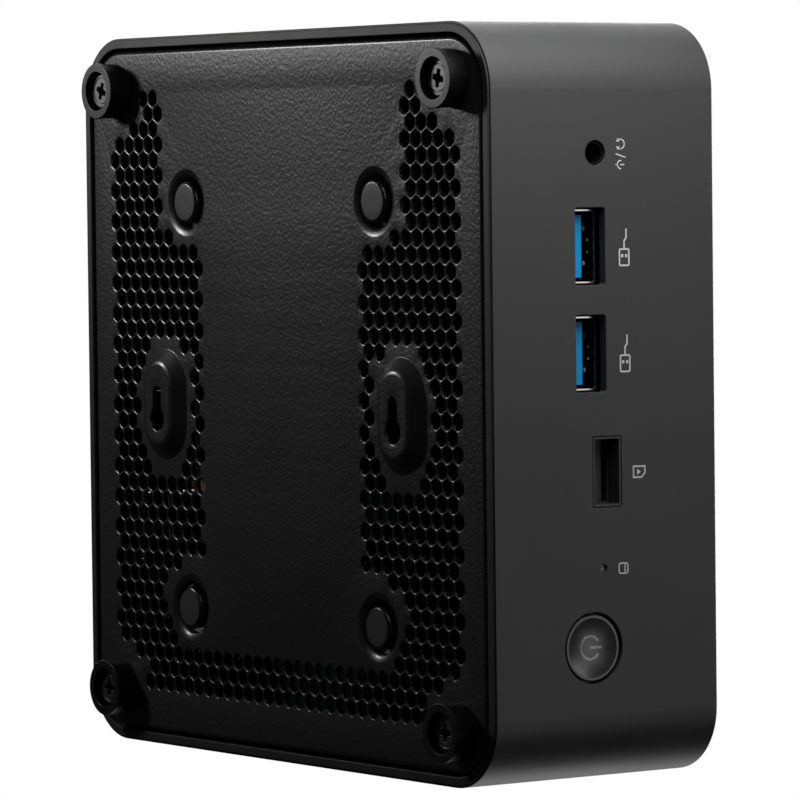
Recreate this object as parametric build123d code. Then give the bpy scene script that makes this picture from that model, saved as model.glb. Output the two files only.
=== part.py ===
from build123d import *
import math
import os

os.makedirs("parts", exist_ok=True)

# ---------------------------------------------------------------------------
# Small desktop computer standing on four rubber feet.
# Frame: +Z up, front panel towards -Y, origin on the floor under the middle.
# All sizes in millimetres.
# ---------------------------------------------------------------------------

# Case
BODY_W = 135.6
BODY_D = 133.6
BODY_H = 49.9
CORNER_R = 12.2
WALL = 1.7
FOOT_H = 4.2
RIM_Z = FOOT_H
TOP_Z = RIM_Z + BODY_H
SHADOW_STEP = 0.4
DECK_T = 1.8
TOP_RECESS = 2.2
TOP_PANEL_T = 2.05
TOP_EDGE_R = 0.6
LIP_T = 1.9
LIP_H = 6.0
DECK_Z = TOP_Z - TOP_RECESS - DECK_T

# Bottom cover
COVER_GAP = 0.8
COVER_RECESS = 0.2
COVER_T = 1.0
COVER_Z = RIM_Z + COVER_RECESS
FLANGE_H = 5.2
BEND_R = 0.9
COVER_W = BODY_W - 2 * (WALL + COVER_GAP)
COVER_D = BODY_D - 2 * (WALL + COVER_GAP)
COVER_R = CORNER_R - WALL - COVER_GAP

# Vent pattern in the bottom cover
HEX_PITCH = 3.407
HEX_ROW = HEX_PITCH * math.sqrt(3) / 2
HEX_FLATS = 2.8
VENT_ROWS = 19
VENT_COLS = 33
VENT_INNER_COL = 16
VENT_INNER_COL_WIDE = 24

# Feet and cover screws
FOOT_X = 57.7
FOOT_Y = 55.8
FOOT_R = 5.35
FOOT_NECK_R = 5.2
FOOT_TREAD = 0.8
FOOT_WELL_R = 3.72
SCREW_HEAD_R = 3.3
SCREW_HEAD_Z = 1.2
DRIVE_W = 1.0
DRIVE_L = 3.3
DRIVE_DEPTH = 1.8
SCREW_R = 1.5
SCREW_TIP_Z = 12.0
RUN = 0.05

# Plugged screw wells
WELL_XS = (-36.1, 40.9)
WELL_Y = 31.1
WELL_R = 6.0
WELL_DEPTH = 1.6
PLUG_R = 3.9
PLUG_PROUD = 0.4

# Keyhole hangers
KEY_Y = 39.1
KEY_HOLE_X = 5.1
KEY_HOLE_R = 2.3
KEY_SLOT_X = 0.2
KEY_SLOT_R = 1.3
KEY_X0 = -0.9
KEY_X1 = 5.6
KEY_BASE_R = 7.5
KEY_TOP_R = 4.5
KEY_RAISE = 2.1

# Front panel
FRONT_Y = -BODY_D / 2
REAR_Y = BODY_D / 2
AUDIO_X = -44.3
AUDIO_Z = RIM_Z + 23.1
AUDIO_HOLE_R = 2.25
AUDIO_BORE_R = 1.8
USB_XS = (-27.8, -8.8)
USB_Z = RIM_Z + 21.85
USB_HOLE_W = 13.75
USB_HOLE_H = 6.65
USB_MOUTH = 2.4
CARD_X = 12.25
CARD_Z = RIM_Z + 25.15
CARD_HOLE_W = 12.7
CARD_HOLE_H = 6.5
LED_X = 29.4
LED_Z = RIM_Z + 24.15
LED_R = 0.7
BUTTON_X = 43.45
BUTTON_Z = RIM_Z + 21.8
BUTTON_HOLE_R = 6.4
BUTTON_R = 6.0
BUTTON_SET_BACK = 0.3
BUTTON_DISH = 0.9

# Circuit board
BOARD_Z = 29.0
BOARD_T = 1.2
BOARD_TOP = BOARD_Z + BOARD_T
BOARD_X = 61.0
BOARD_Y = 62.8
BOARD_EDGE = -BOARD_Y
BOARD_NOTCH_X = 51.5
BOARD_NOTCH_Y = 49.5
BOSS_X = 52.0
BOSS_YS = (-38.0, 36.0)

# Cooler
CPU_X = -6.0
CPU_Y = 4.0
PIPE_Z = 34.1
PIPE_T = 3.0
PIPE_W = 8.0
BLOWER_X = 0.0
BLOWER_Y = -8.0
BLOWER_Z = 37.4
BLOWER_H = 11.4
BLOWER_R = 38.0
IMPELLER_R = 32.0
HUB_R = 15.0
BLADES = 35
BLOWER_POSTS = ((-32.0, -37.0), (32.0, -37.0), (-41.5, 8.0))
FIN_Y0 = 47.0
FIN_Y1 = 60.0
FIN_X = 36.0
FIN_Z0 = PIPE_Z + PIPE_T
FIN_Z1 = 48.6
FIN_PITCH = 1.8
FIN_T = 0.4

# Under the board: memory, storage, radio and clock battery
MEM_X = -20.0
MEM_Y0 = -18.0
MEM_RISE = 4.4
MEM_STEP = 5.2
SSD_X = 36.0
SSD_Y0 = -38.0
SSD_Z = BOARD_Z - 3.4
WIFI_X = -38.0
WIFI_PLUGS = (WIFI_X - 4.0, WIFI_X + 4.0)
CELL_X = -36.0
CELL_Y = -39.2

# Rear panel
REAR_OPEN_X = 50.5
REAR_OPEN_Z0 = 13.2
REAR_OPEN_Z1 = 48.2
PLATE_T = 1.0
DC_X = -43.5
VIDEO_XS = (-28.5, -10.0)
NET_X = 9.0
USB_REAR_X = 27.5
USB_C_X = 42.5
PORT_Y = REAR_Y - 0.2
DC_Z = BOARD_Z - 5.4
VIDEO_Z = BOARD_Z - 3.1
NET_Z0 = BOARD_Z - 13.4
USB_STACK = (BOARD_Z - 3.0, BOARD_Z - 10.6)
USB_C_Z = BOARD_Z - 1.8


def block(x0, x1, y0, y1, z0, z1):
    w, d, h = x1 - x0, y1 - y0, z1 - z0
    return Pos(x0 + w / 2, y0 + d / 2, z0 + h / 2) * Box(w, d, h)


def rod(x, y, z0, z1, r):
    return Pos(x, y, (z0 + z1) / 2) * Cylinder(r, z1 - z0)


def rod_y(x, z, y0, y1, r):
    return Pos(x, (y0 + y1) / 2, z) * Rot(90, 0, 0) * Cylinder(r, y1 - y0)


def slab(w, d, r, z0, z1, x=0.0, y=0.0):
    return Pos(x, y, z0) * extrude(RectangleRounded(w, d, r), z1 - z0)


def slab_y(w, h, r, y0, y1, x, z):
    """Rounded rectangle in the XZ plane, pushed along +Y."""
    face = Plane((x, y0, z), x_dir=(1, 0, 0), z_dir=(0, -1, 0)) * RectangleRounded(w, h, r)
    return extrude(face, -(y1 - y0))


def save(shape, node):
    export_step(shape, "parts/" + node + ".step")


def group(solids, node):
    save(Compound(children=list(solids)), node)


def corners():
    return [(sx * FOOT_X, sy * FOOT_Y) for sx in (-1, 1) for sy in (-1, 1)]


# ---------------------------------------------------------------------------
# Housing: side walls, inner deck, screw posts and board bosses in one moulding
# ---------------------------------------------------------------------------

def make_housing():
    outer = slab(BODY_W, BODY_D, CORNER_R, RIM_Z, TOP_Z)
    top_edges = outer.faces().sort_by(Axis.Z)[-1].edges()
    outer = fillet(top_edges, TOP_EDGE_R)
    in_w = BODY_W - 2 * WALL
    in_d = BODY_D - 2 * WALL
    in_r = CORNER_R - WALL
    body = outer - slab(in_w, in_d, in_r, RIM_Z - 1, DECK_Z)
    body -= slab(in_w, in_d, in_r, TOP_Z - TOP_RECESS, TOP_Z + 1)
    # thicker lip round the cover
    lip = slab(in_w + 0.2, in_d + 0.2, in_r + 0.1, RIM_Z, RIM_Z + LIP_H)
    lip -= slab(BODY_W - 2 * LIP_T, BODY_D - 2 * LIP_T, CORNER_R - LIP_T, RIM_Z - 1, RIM_Z + LIP_H + 1)
    body += lip
    # fine shadow step round the lower outer edge
    step = slab(BODY_W + 2, BODY_D + 2, CORNER_R, RIM_Z - 1, RIM_Z + 0.35)
    keep = slab(BODY_W - 2 * SHADOW_STEP, BODY_D - 2 * SHADOW_STEP, CORNER_R - SHADOW_STEP,
                RIM_Z - 2, RIM_Z + 1)
    body -= step - keep
    # corner posts for the cover screws, tied to the walls by ribs
    for x, y in corners():
        sx = 1 if x > 0 else -1
        sy = 1 if y > 0 else -1
        body += rod(x, y, 6.4, DECK_Z + 0.5, 4.2)
        xa, xb = sorted((x + sx * 2.0, sx * (BODY_W / 2 - 1.3)))
        ya, yb = sorted((y + sy * 2.0, sy * (BODY_D / 2 - 1.3)))
        top = DECK_Z + 0.5
        low = COVER_Z + FLANGE_H + 0.05
        body += block(xa, xb, y - 0.8, y + 0.8, low, top)
        body += block(x - 0.8, x + 0.8, ya, yb, low, top)
    for x, y in corners():
        body -= rod(x, y, 6.0, 12.6, 2.62)
        body -= rod(x, y, 12.0, 17.0, 1.6)
    # bosses that carry the circuit board
    for x in (-BOSS_X, BOSS_X):
        for y in BOSS_YS:
            body += rod(x, y, BOARD_TOP, DECK_Z + 0.5, 3.2)
            body -= rod(x, y, BOARD_TOP - 1, BOARD_TOP + 8, 1.3)
    # front panel openings
    y0 = FRONT_Y - 1
    y1 = FRONT_Y + WALL + 1
    body -= rod_y(AUDIO_X, AUDIO_Z, y0, y1, AUDIO_HOLE_R)
    for x in USB_XS:
        body -= slab_y(USB_HOLE_W, USB_HOLE_H, 0.5, y0, y1, x, USB_Z)
    body -= slab_y(CARD_HOLE_W, CARD_HOLE_H, 0.3, y0, y1, CARD_X, CARD_Z)
    body -= rod_y(LED_X, LED_Z, y0, y1, LED_R + 0.05)
    body -= rod_y(BUTTON_X, BUTTON_Z, y0, y1, BUTTON_HOLE_R)
    # rear opening and the rebate that seats the rear plate
    zc = (REAR_OPEN_Z0 + REAR_OPEN_Z1) / 2
    h = REAR_OPEN_Z1 - REAR_OPEN_Z0
    body -= slab_y(2 * REAR_OPEN_X - 3, h - 3, 1.0, REAR_Y - WALL - 1, REAR_Y + 1, 0, zc)
    body -= slab_y(2 * REAR_OPEN_X, h, 1.5, REAR_Y - PLATE_T, REAR_Y + 1, 0, zc)
    # security lock slot in the right wall
    body -= block(BODY_W / 2 - WALL - 1, BODY_W / 2 + 1, 40.0, 47.0, 20.0, 23.2)
    # holes for the snap pins of the top panel
    for x in (-50.0, 50.0):
        for y in (-50.0, 0.0, 50.0):
            body -= rod(x, y, DECK_Z - 0.5, DECK_Z + DECK_T + 1, 1.6)
    return body


def make_top_panel():
    w = BODY_W - 2 * (WALL + 0.25)
    d = BODY_D - 2 * (WALL + 0.25)
    z0 = TOP_Z - TOP_RECESS
    panel = slab(w, d, CORNER_R - WALL - 0.25, z0, z0 + TOP_PANEL_T)
    panel = fillet(panel.faces().sort_by(Axis.Z)[-1].edges(), 0.5)
    for x in (-50.0, 50.0):
        for y in (-50.0, 0.0, 50.0):
            panel += rod(x, y, DECK_Z - 0.4, z0 + 0.5, 1.5)
    return panel


# ---------------------------------------------------------------------------
# Bottom cover: pressed tray with hexagonal vents, plug wells and hangers
# ---------------------------------------------------------------------------

def near(x, y, points, limit):
    return any(math.hypot(x - px, y - py) < limit for px, py in points)


def near_hanger(x, y, limit):
    along = min(max(x, KEY_X0), KEY_X1)
    return math.hypot(x - along, abs(y) - KEY_Y) < limit


def vent_centres():
    wells = [(x, s * WELL_Y) for x in WELL_XS for s in (-1, 1)]
    found = []
    for row in range(-VENT_ROWS, VENT_ROWS + 1):
        for col in range(-VENT_COLS, VENT_COLS + 1):
            if (row + col) % 2:
                continue
            inner = VENT_INNER_COL
            if row < -10:
                inner = VENT_INNER_COL_WIDE
            if row > 16:
                inner = 0
            if abs(col) < inner:
                continue
            x = row * HEX_ROW
            y = col * HEX_PITCH / 2
            if near(x, y, corners(), 9.6) or near(x, y, wells, 8.72):
                continue
            if near_hanger(x, y, 9.9):
                continue
            found.append((x, y))
    return found


def hexagon(x, y):
    r = HEX_FLATS / math.sqrt(3)
    pts = []
    for i in range(6):
        a = i * math.pi / 3
        pts.append((x + r * math.cos(a), y + r * math.sin(a), COVER_Z))
    return Wire.make_polygon(pts, close=True)


def hanger_form(y, z):
    """Raised boss round a keyhole: wide at height z, narrow KEY_RAISE below it."""
    form = Pos(KEY_X0, y, z - KEY_RAISE / 2) * Cone(KEY_TOP_R, KEY_BASE_R, KEY_RAISE)
    form += Pos(KEY_X1, y, z - KEY_RAISE / 2) * Cone(KEY_TOP_R, KEY_BASE_R, KEY_RAISE)
    side = Plane((KEY_X0, y, z), x_dir=(0, 1, 0), z_dir=(1, 0, 0))
    outline = Polyline((-KEY_BASE_R, 0), (-KEY_TOP_R, -KEY_RAISE), (KEY_TOP_R, -KEY_RAISE),
                       (KEY_BASE_R, 0), close=True)
    return form + extrude(side * make_face(outline), KEY_X1 - KEY_X0)


def make_bottom_cover():
    face = Pos(0, 0, COVER_Z) * RectangleRounded(COVER_W, COVER_D, COVER_R)
    holes = [hexagon(x, y) for x, y in vent_centres()]
    plate = extrude(face.face().make_holes(holes), COVER_T)
    tray = slab(COVER_W, COVER_D, COVER_R, COVER_Z, COVER_Z + FLANGE_H)
    tray = fillet(tray.faces().sort_by(Axis.Z)[0].edges(), BEND_R)
    core = slab(COVER_W - 2 * COVER_T, COVER_D - 2 * COVER_T, COVER_R - COVER_T,
                COVER_Z - 1, COVER_Z + FLANGE_H + 1)
    tray -= core
    inset = slab(COVER_W - 2 * COVER_T, COVER_D - 2 * COVER_T, COVER_R - COVER_T,
                 COVER_Z, COVER_Z + COVER_T)
    plate = plate & inset
    cover = tray + plate
    for y in (-KEY_Y, KEY_Y):
        cover += hanger_form(y, COVER_Z + 0.01)
        cover -= hanger_form(y, COVER_Z + COVER_T + 0.01)
        cover -= Pos(KEY_HOLE_X, y, COVER_Z) * Cylinder(KEY_HOLE_R, 10)
        slot_mid = (KEY_HOLE_X + KEY_SLOT_X) / 2
        cover -= Pos(slot_mid, y, COVER_Z) * Box(KEY_HOLE_X - KEY_SLOT_X, 2 * KEY_SLOT_R, 10)
        cover -= Pos(KEY_SLOT_X, y, COVER_Z) * Cylinder(KEY_SLOT_R, 10)
    for x in WELL_XS:
        for y in (-WELL_Y, WELL_Y):
            cover += rod(x, y, COVER_Z, COVER_Z + WELL_DEPTH + 0.8, WELL_R + 0.8)
            cover -= rod(x, y, COVER_Z - 1, COVER_Z + WELL_DEPTH, WELL_R)
            cover -= rod(x, y, COVER_Z, COVER_Z + 4, 1.65)
    for x, y in corners():
        cover -= rod(x, y, COVER_Z - 1, COVER_Z + 3, SCREW_R + RUN)
    return cover


def make_foot(x, y):
    foot = rod(x, y, 0, FOOT_TREAD, FOOT_R) + rod(x, y, FOOT_TREAD, COVER_Z, FOOT_NECK_R)
    foot -= rod(x, y, -1, COVER_Z + 1, FOOT_WELL_R)
    low = foot.edges().filter_by(GeomType.CIRCLE).group_by(Axis.Z)[0]
    return fillet(low, 0.15)


def make_plug(x, y):
    z0 = COVER_Z - PLUG_PROUD
    z1 = COVER_Z + WELL_DEPTH
    disc = rod(x, y, z0, z1, PLUG_R)
    disc = fillet(disc.edges().filter_by(GeomType.CIRCLE).group_by(Axis.Z)[0], 0.3)
    stem = rod(x, y, z1 - 0.1, z1 + 1.0, 1.6)
    barb = rod(x, y, z1 + 0.85, z1 + 1.7, 2.1)
    return disc + stem + barb


def make_cover_screw(x, y, turn):
    """Captive pan-head screw; turn is the angle that its cross recess has come to rest at."""
    head = rod(x, y, SCREW_HEAD_Z, COVER_Z - 0.02, SCREW_HEAD_R)
    head = fillet(head.edges().filter_by(GeomType.CIRCLE).group_by(Axis.Z)[0], 0.35)
    groove = rod(x, y, SCREW_HEAD_Z - 0.1, SCREW_HEAD_Z + 0.12, 2.65)
    head -= groove - rod(x, y, SCREW_HEAD_Z - 0.2, SCREW_HEAD_Z + 0.2, 2.4)
    screw = head + rod(x, y, COVER_Z - 0.1, SCREW_TIP_Z, SCREW_R)
    screw += rod(x, y, COVER_Z + COVER_T + 0.15, COVER_Z + COVER_T + 0.75, 2.5)
    cross = Rectangle(DRIVE_L, DRIVE_W) + Rectangle(DRIVE_W, DRIVE_L) + Circle(DRIVE_W)
    recess = extrude(cross, DRIVE_DEPTH, taper=9)
    return screw - Pos(x, y, SCREW_HEAD_Z - 0.01) * Rot(0, 0, turn) * recess


def make_insert(x, y):
    ring = rod(x, y, 6.5, 12.5, 2.6) - rod(x, y, 6, 13, SCREW_R + RUN)
    for z in (8.5, 10.5):
        ring -= rod(x, y, z - 0.3, z + 0.3, 3.0) - rod(x, y, z - 0.5, z + 0.5, 2.35)
    return ring


# ---------------------------------------------------------------------------
# Front panel pieces
# ---------------------------------------------------------------------------

def make_button():
    y0 = FRONT_Y + BUTTON_SET_BACK
    cap = rod_y(BUTTON_X, BUTTON_Z, y0, FRONT_Y + 3.0, BUTTON_R)
    rim = cap.edges().filter_by(GeomType.CIRCLE).group_by(Axis.Y)[0]
    cap = fillet(rim, 0.3)
    rad = (BUTTON_R ** 2 * 0.8 + BUTTON_DISH ** 2) / (2 * BUTTON_DISH)
    cap -= Pos(BUTTON_X, y0 + BUTTON_DISH - rad, BUTTON_Z) * Sphere(rad)
    cap += rod_y(BUTTON_X, BUTTON_Z, FRONT_Y + 2.2, FRONT_Y + 3.2, 7.3)
    cap += rod_y(BUTTON_X, BUTTON_Z, FRONT_Y + 3.0, FRONT_Y + 8.0, 1.5)
    return cap


def make_switch():
    y0 = FRONT_Y + 8.6
    body = block(BUTTON_X - 3, BUTTON_X + 3, y0, y0 + 3.6, 23.0, BOARD_Z)
    body -= rod_y(BUTTON_X, BUTTON_Z, y0 - 1, y0 + 2.2, 1.2 + RUN)
    body -= rod_y(BUTTON_X, BUTTON_Z, y0 + 0.8, y0 + 3.0, 2.0)
    return body


def make_plunger():
    pin = rod_y(BUTTON_X, BUTTON_Z, FRONT_Y + 8.0, FRONT_Y + 9.9, 1.2)
    return pin + rod_y(BUTTON_X, BUTTON_Z, FRONT_Y + 9.5, FRONT_Y + 10.4, 1.7)


def make_card_bezel():
    """Finger recess of the card slot with the card mouth high in its rear wall."""
    x = CARD_X
    w = CARD_HOLE_W - 0.3
    h = CARD_HOLE_H - 0.3
    tube = slab_y(w, h, 0.3, FRONT_Y + 0.05, BOARD_EDGE - 0.1, x, CARD_Z)
    tube += slab_y(w + 2.4, h + 1.6, 0.6, FRONT_Y + WALL + 0.02, FRONT_Y + WALL + 0.9, x, CARD_Z)
    tube -= slab_y(w - 0.8, h - 0.8, 0.2, FRONT_Y - 1, BOARD_EDGE - 0.7, x, CARD_Z)
    mouth_z = BOARD_TOP + 0.98
    tube -= block(x - 5.6, x + 5.6, FRONT_Y, BOARD_EDGE + 1, mouth_z - 0.68, mouth_z + 0.68)
    return tube


def usb_shell(x, z, y_mouth, sy, w=13.1, h=5.7, depth=14.0):
    t = 0.3
    ya, yb = sorted((y_mouth, y_mouth + sy * depth))
    shell = slab_y(w, h, 0.6, ya, yb, x, z)
    ia, ib = sorted((y_mouth - sy * 1.0, y_mouth + sy * (depth - 0.4)))
    return shell - slab_y(w - 2 * t, h - 2 * t, 0.35, ia, ib, x, z)


def usb_tongue(x, z, y_mouth, sy, side):
    """side is -1 when the tongue is the lower one, +1 when it is the upper one."""
    zc = z + side * 0.72
    fa, fb = sorted((y_mouth + sy * 0.5, y_mouth + sy * 9.6))
    tongue = block(x - 5.55, x + 5.55, fa, fb, zc - 0.92, zc + 0.92)
    ra, rb = sorted((y_mouth + sy * 9.4, y_mouth + sy * 13.5))
    tongue += block(x - 6.15, x + 6.15, ra, rb, z - 2.45, z + 2.45)
    # channels for the contacts in the open side
    inner = zc - side * 0.92
    for i in range(4):
        cx = x + (i - 1.5) * 2.35
        za, zb = sorted((inner - side * 0.3, inner + side * 0.25))
        ca, cb = sorted((y_mouth + sy * 1.0, y_mouth + sy * 9.4))
        tongue -= block(cx - 0.62, cx + 0.62, ca, cb, za, zb)
    return tongue


def usb_contacts(x, z, y_mouth, sy, side):
    inner = z + side * 0.72 - side * 0.92
    out = []
    for i in range(4):
        cx = x + (i - 1.5) * 2.35
        za, zb = sorted((inner - side * 0.1, inner + side * 0.25))
        ca, cb = sorted((y_mouth + sy * 1.05, y_mouth + sy * 9.35))
        out.append(block(cx - 0.5, cx + 0.5, ca, cb, za, zb))
    return out


def make_audio_jack():
    y0 = FRONT_Y + WALL + 0.15
    jack = block(AUDIO_X - 3.0, AUDIO_X + 3.0, y0, y0 + 12.0, AUDIO_Z - 2.5, AUDIO_Z + 2.5)
    jack += rod_y(AUDIO_X, AUDIO_Z, FRONT_Y + 0.5, y0 + 1, 2.15)
    jack -= rod_y(AUDIO_X, AUDIO_Z, FRONT_Y - 1, y0 + 11.0, AUDIO_BORE_R)
    for dz, d in ((1, 3.0), (-1, 5.5), (1, 8.0)):
        za, zb = sorted((AUDIO_Z + dz * 1.5, AUDIO_Z + dz * 2.2))
        jack -= block(AUDIO_X - 0.9, AUDIO_X + 0.9, y0 + d, y0 + d + 2.0, za, zb)
    return jack


def make_audio_contacts():
    y0 = FRONT_Y + WALL + 0.15
    out = []
    for dz, d in ((1, 3.0), (-1, 5.5), (1, 8.0)):
        za, zb = sorted((AUDIO_Z + dz * 1.85, AUDIO_Z + dz * 2.2))
        out.append(block(AUDIO_X - 0.7, AUDIO_X + 0.7, y0 + d + 0.2, y0 + d + 1.8, za, zb))
    return out


def make_card_reader():
    y0 = BOARD_EDGE + 0.05
    can = block(CARD_X - 7.0, CARD_X + 7.0, y0, y0 + 14.5, BOARD_TOP, BOARD_TOP + 1.9)
    can -= block(CARD_X - 5.6, CARD_X + 5.6, y0 - 1, y0 + 13.0, BOARD_TOP + 0.3, BOARD_TOP + 1.65)
    return can


def make_card_contacts():
    y0 = BOARD_EDGE + 0.05
    out = []
    for i in range(8):
        x = CARD_X - 3.85 + i * 1.1
        out.append(block(x - 0.35, x + 0.35, y0 + 1.0, y0 + 9.0, BOARD_TOP + 0.3, BOARD_TOP + 0.55))
    return out


# ---------------------------------------------------------------------------
# Circuit board and what is soldered to it
# ---------------------------------------------------------------------------

def make_board():
    board = block(-BOARD_X, BOARD_X, -BOARD_Y, BOARD_Y, BOARD_Z, BOARD_TOP)
    for sx in (-1, 1):
        for sy in (-1, 1):
            xa, xb = sorted((sx * BOARD_NOTCH_X, sx * (BOARD_X + 1)))
            ya, yb = sorted((sy * BOARD_NOTCH_Y, sy * (BOARD_Y + 1)))
            board -= block(xa, xb, ya, yb, BOARD_Z - 1, BOARD_TOP + 1)
    for x in (-BOSS_X, BOSS_X):
        for y in BOSS_YS:
            board -= rod(x, y, BOARD_Z - 1, BOARD_TOP + 1, 1.6)
    for x, y in cooler_posts():
        board -= rod(x, y, BOARD_Z - 1, BOARD_TOP + 1, 1.3)
    board -= block(AUDIO_X - 3.2, AUDIO_X + 3.2, -BOARD_Y - 1, FRONT_Y + WALL + 12.5,
                   BOARD_Z - 1, BOARD_TOP + 1)
    return board


def cooler_posts():
    return [(CPU_X + sx * 24.0, CPU_Y + sy * 17.0) for sx in (-1, 1) for sy in (-1, 1)]


def make_board_screw(x, y):
    head = rod(x, y, BOARD_Z - 1.9, BOARD_Z, 2.8)
    head = fillet(head.edges().filter_by(GeomType.CIRCLE).group_by(Axis.Z)[0], 0.5)
    screw = head + rod(x, y, BOARD_Z - 0.1, BOARD_TOP + 7.0, 1.25)
    for a in (0, 90):
        screw -= Pos(x, y, BOARD_Z - 1.9) * Rot(0, 0, a) * Box(3.0, 0.7, 2.0)
    return screw


def make_processor():
    base = block(CPU_X - 22.5, CPU_X + 22.5, CPU_Y - 12.5, CPU_Y + 12.5, BOARD_TOP, BOARD_TOP + 1.1)
    base += block(CPU_X - 15, CPU_X - 1, CPU_Y - 5, CPU_Y + 6, BOARD_TOP + 1, BOARD_TOP + 1.7)
    base += block(CPU_X + 3, CPU_X + 12, CPU_Y - 4, CPU_Y + 4, BOARD_TOP + 1, BOARD_TOP + 1.7)
    return base


def make_cold_plate():
    z0 = BOARD_TOP + 1.7
    plate = block(CPU_X - 19, CPU_X + 19, CPU_Y - 13, CPU_Y + 13, z0, PIPE_Z)
    for x, y in cooler_posts():
        arm = block(min(x, CPU_X), max(x, CPU_X), min(y, CPU_Y), max(y, CPU_Y), z0 + 1.0, z0 + 2.0)
        cut = block(CPU_X - 18, CPU_X + 18, CPU_Y - 40, CPU_Y + 40, z0, PIPE_Z + 1)
        plate += (arm - cut) + rod(x, y, z0 + 1.0, z0 + 2.0, 3.2)
    for x, y in cooler_posts():
        plate -= rod(x, y, z0 - 1, PIPE_Z + 1, 1.35)
    return plate


def make_cooler_screw(x, y):
    z0 = BOARD_TOP + 3.72
    screw = rod(x, y, z0, z0 + 1.4, 2.4) + rod(x, y, BOARD_Z - 0.6, z0 + 0.1, 1.2)
    screw -= Pos(x, y, z0 + 1.4) * Box(3.2, 0.7, 1.4)
    return screw + rod(x, y, BOARD_Z - 0.8, BOARD_Z, 2.0)


def make_heat_pipe(side):
    x0 = CPU_X + side * 5.0
    turn = 12.0
    y_run = (FIN_Y0 + FIN_Y1) / 2
    z = PIPE_Z + PIPE_T / 2
    start = (x0, CPU_Y - 10, z)
    mid = (x0, y_run - turn, z)
    out = (x0 + side * turn, y_run, z)
    end = (side * (FIN_X - 1.5), y_run, z)
    path = Line(start, mid)
    path += TangentArc(mid, out, tangent=(0, 1, 0))
    path += Line(out, end)
    section = Plane(start, x_dir=(1, 0, 0), z_dir=(0, 1, 0)) * RectangleRounded(
        PIPE_W, PIPE_T - 0.02, 1.4)
    return sweep(section, path=path)


def make_fins():
    comb = block(-FIN_X, FIN_X, FIN_Y0, FIN_Y1, FIN_Z0, FIN_Z1)
    n = int(2 * FIN_X / FIN_PITCH)
    for i in range(n):
        xa = -FIN_X + i * FIN_PITCH + FIN_T
        comb -= block(xa, xa + FIN_PITCH - FIN_T, FIN_Y0 - 1, FIN_Y1 + 1, FIN_Z0 + 0.4, FIN_Z1 - 0.4)
    return comb


def blower_plan(grow):
    """Scroll outline: round body with a throat that opens towards the fins."""
    disc = Pos(BLOWER_X, BLOWER_Y) * Circle(BLOWER_R + grow)
    x0 = -FIN_X - grow
    x1 = FIN_X + grow
    throat = Polyline((BLOWER_X - BLOWER_R - grow, BLOWER_Y), (x0, FIN_Y0 - 0.3),
                      (x1, FIN_Y0 - 0.3), (BLOWER_X + BLOWER_R + grow, BLOWER_Y), close=True)
    return disc + make_face(throat)


def make_blower_base():
    outer = Pos(0, 0, BLOWER_Z) * extrude(blower_plan(0), BLOWER_H - 0.8)
    inner = Pos(0, 0, BLOWER_Z + 1.0) * extrude(blower_plan(-1.2), BLOWER_H)
    base = outer - inner
    # open throat at the rear
    base -= block(-FIN_X + 1.2, FIN_X - 1.2, FIN_Y0 - 3, FIN_Y0 + 1, BLOWER_Z + 1.0,
                  BLOWER_Z + BLOWER_H)
    # lower air inlet, crossed by three arms that carry the motor
    inlet = rod(BLOWER_X, BLOWER_Y, BLOWER_Z - 1, BLOWER_Z + 2, 25.0)
    inlet -= rod(BLOWER_X, BLOWER_Y, BLOWER_Z - 2, BLOWER_Z + 3, HUB_R + 1.0)
    for a in (90, 210, 330):
        inlet -= Pos(BLOWER_X, BLOWER_Y, BLOWER_Z) * Rot(0, 0, a) * Pos(20, 0, 0) * Box(14, 4, 6)
    base -= inlet
    base -= rod(BLOWER_X, BLOWER_Y, BLOWER_Z - 1, BLOWER_Z + 2, 2.5)
    for x, y in BLOWER_POSTS:
        a = math.degrees(math.atan2(y - BLOWER_Y, x - BLOWER_X))
        reach = math.hypot(x - BLOWER_X, y - BLOWER_Y)
        arm = Pos(BLOWER_X, BLOWER_Y, BLOWER_Z + 0.75) * Rot(0, 0, a)
        base += arm * Pos(reach - 3.5, 0, 0) * Box(7.0, 6.0, 1.5)
        base += rod(x, y, BLOWER_Z, BLOWER_Z + 1.5, 3.0)
        base -= rod(x, y, BLOWER_Z - 1, BLOWER_Z + 3, 1.15)
    return base


def make_blower_screw(x, y):
    head = rod(x, y, BLOWER_Z + 1.5, BLOWER_Z + 2.9, 2.0)
    head = fillet(head.edges().filter_by(GeomType.CIRCLE).group_by(Axis.Z)[-1], 0.4)
    screw = head + rod(x, y, BLOWER_Z - 4.0, BLOWER_Z + 1.6, 1.0)
    return screw - Pos(x, y, BLOWER_Z + 2.9) * Box(2.6, 0.6, 1.2)


def make_blower_cover():
    z1 = BLOWER_Z + BLOWER_H
    lid = Pos(0, 0, z1 - 0.8) * extrude(blower_plan(0), 0.8)
    return lid - rod(BLOWER_X, BLOWER_Y, z1 - 2, z1 + 1, 25.5)


def make_impeller():
    z0 = BLOWER_Z + 1.9
    z1 = BLOWER_Z + BLOWER_H - 1.6
    hub = rod(0, 0, z0, z1, HUB_R) - rod(0, 0, z0 - 1, z1 - 1.2, HUB_R - 1.2)
    wheel = hub + rod(0, 0, BLOWER_Z + 1.4, z1 - 0.5, 1.0)
    web = rod(0, 0, z0 + 2.5, z0 + 3.3, IMPELLER_R) - rod(0, 0, z0, z1, HUB_R - 0.5)
    blade = Pos(IMPELLER_R - 4.5, 0, (z0 + z1 - 0.6) / 2) * Rot(0, 0, 28) * Box(10, 0.7, z1 - z0 - 0.6)
    wheel += web
    solids = [Rot(0, 0, 360 / BLADES * i) * blade for i in range(BLADES)]
    wheel = wheel + solids
    return Pos(BLOWER_X, BLOWER_Y, 0) * wheel


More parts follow.
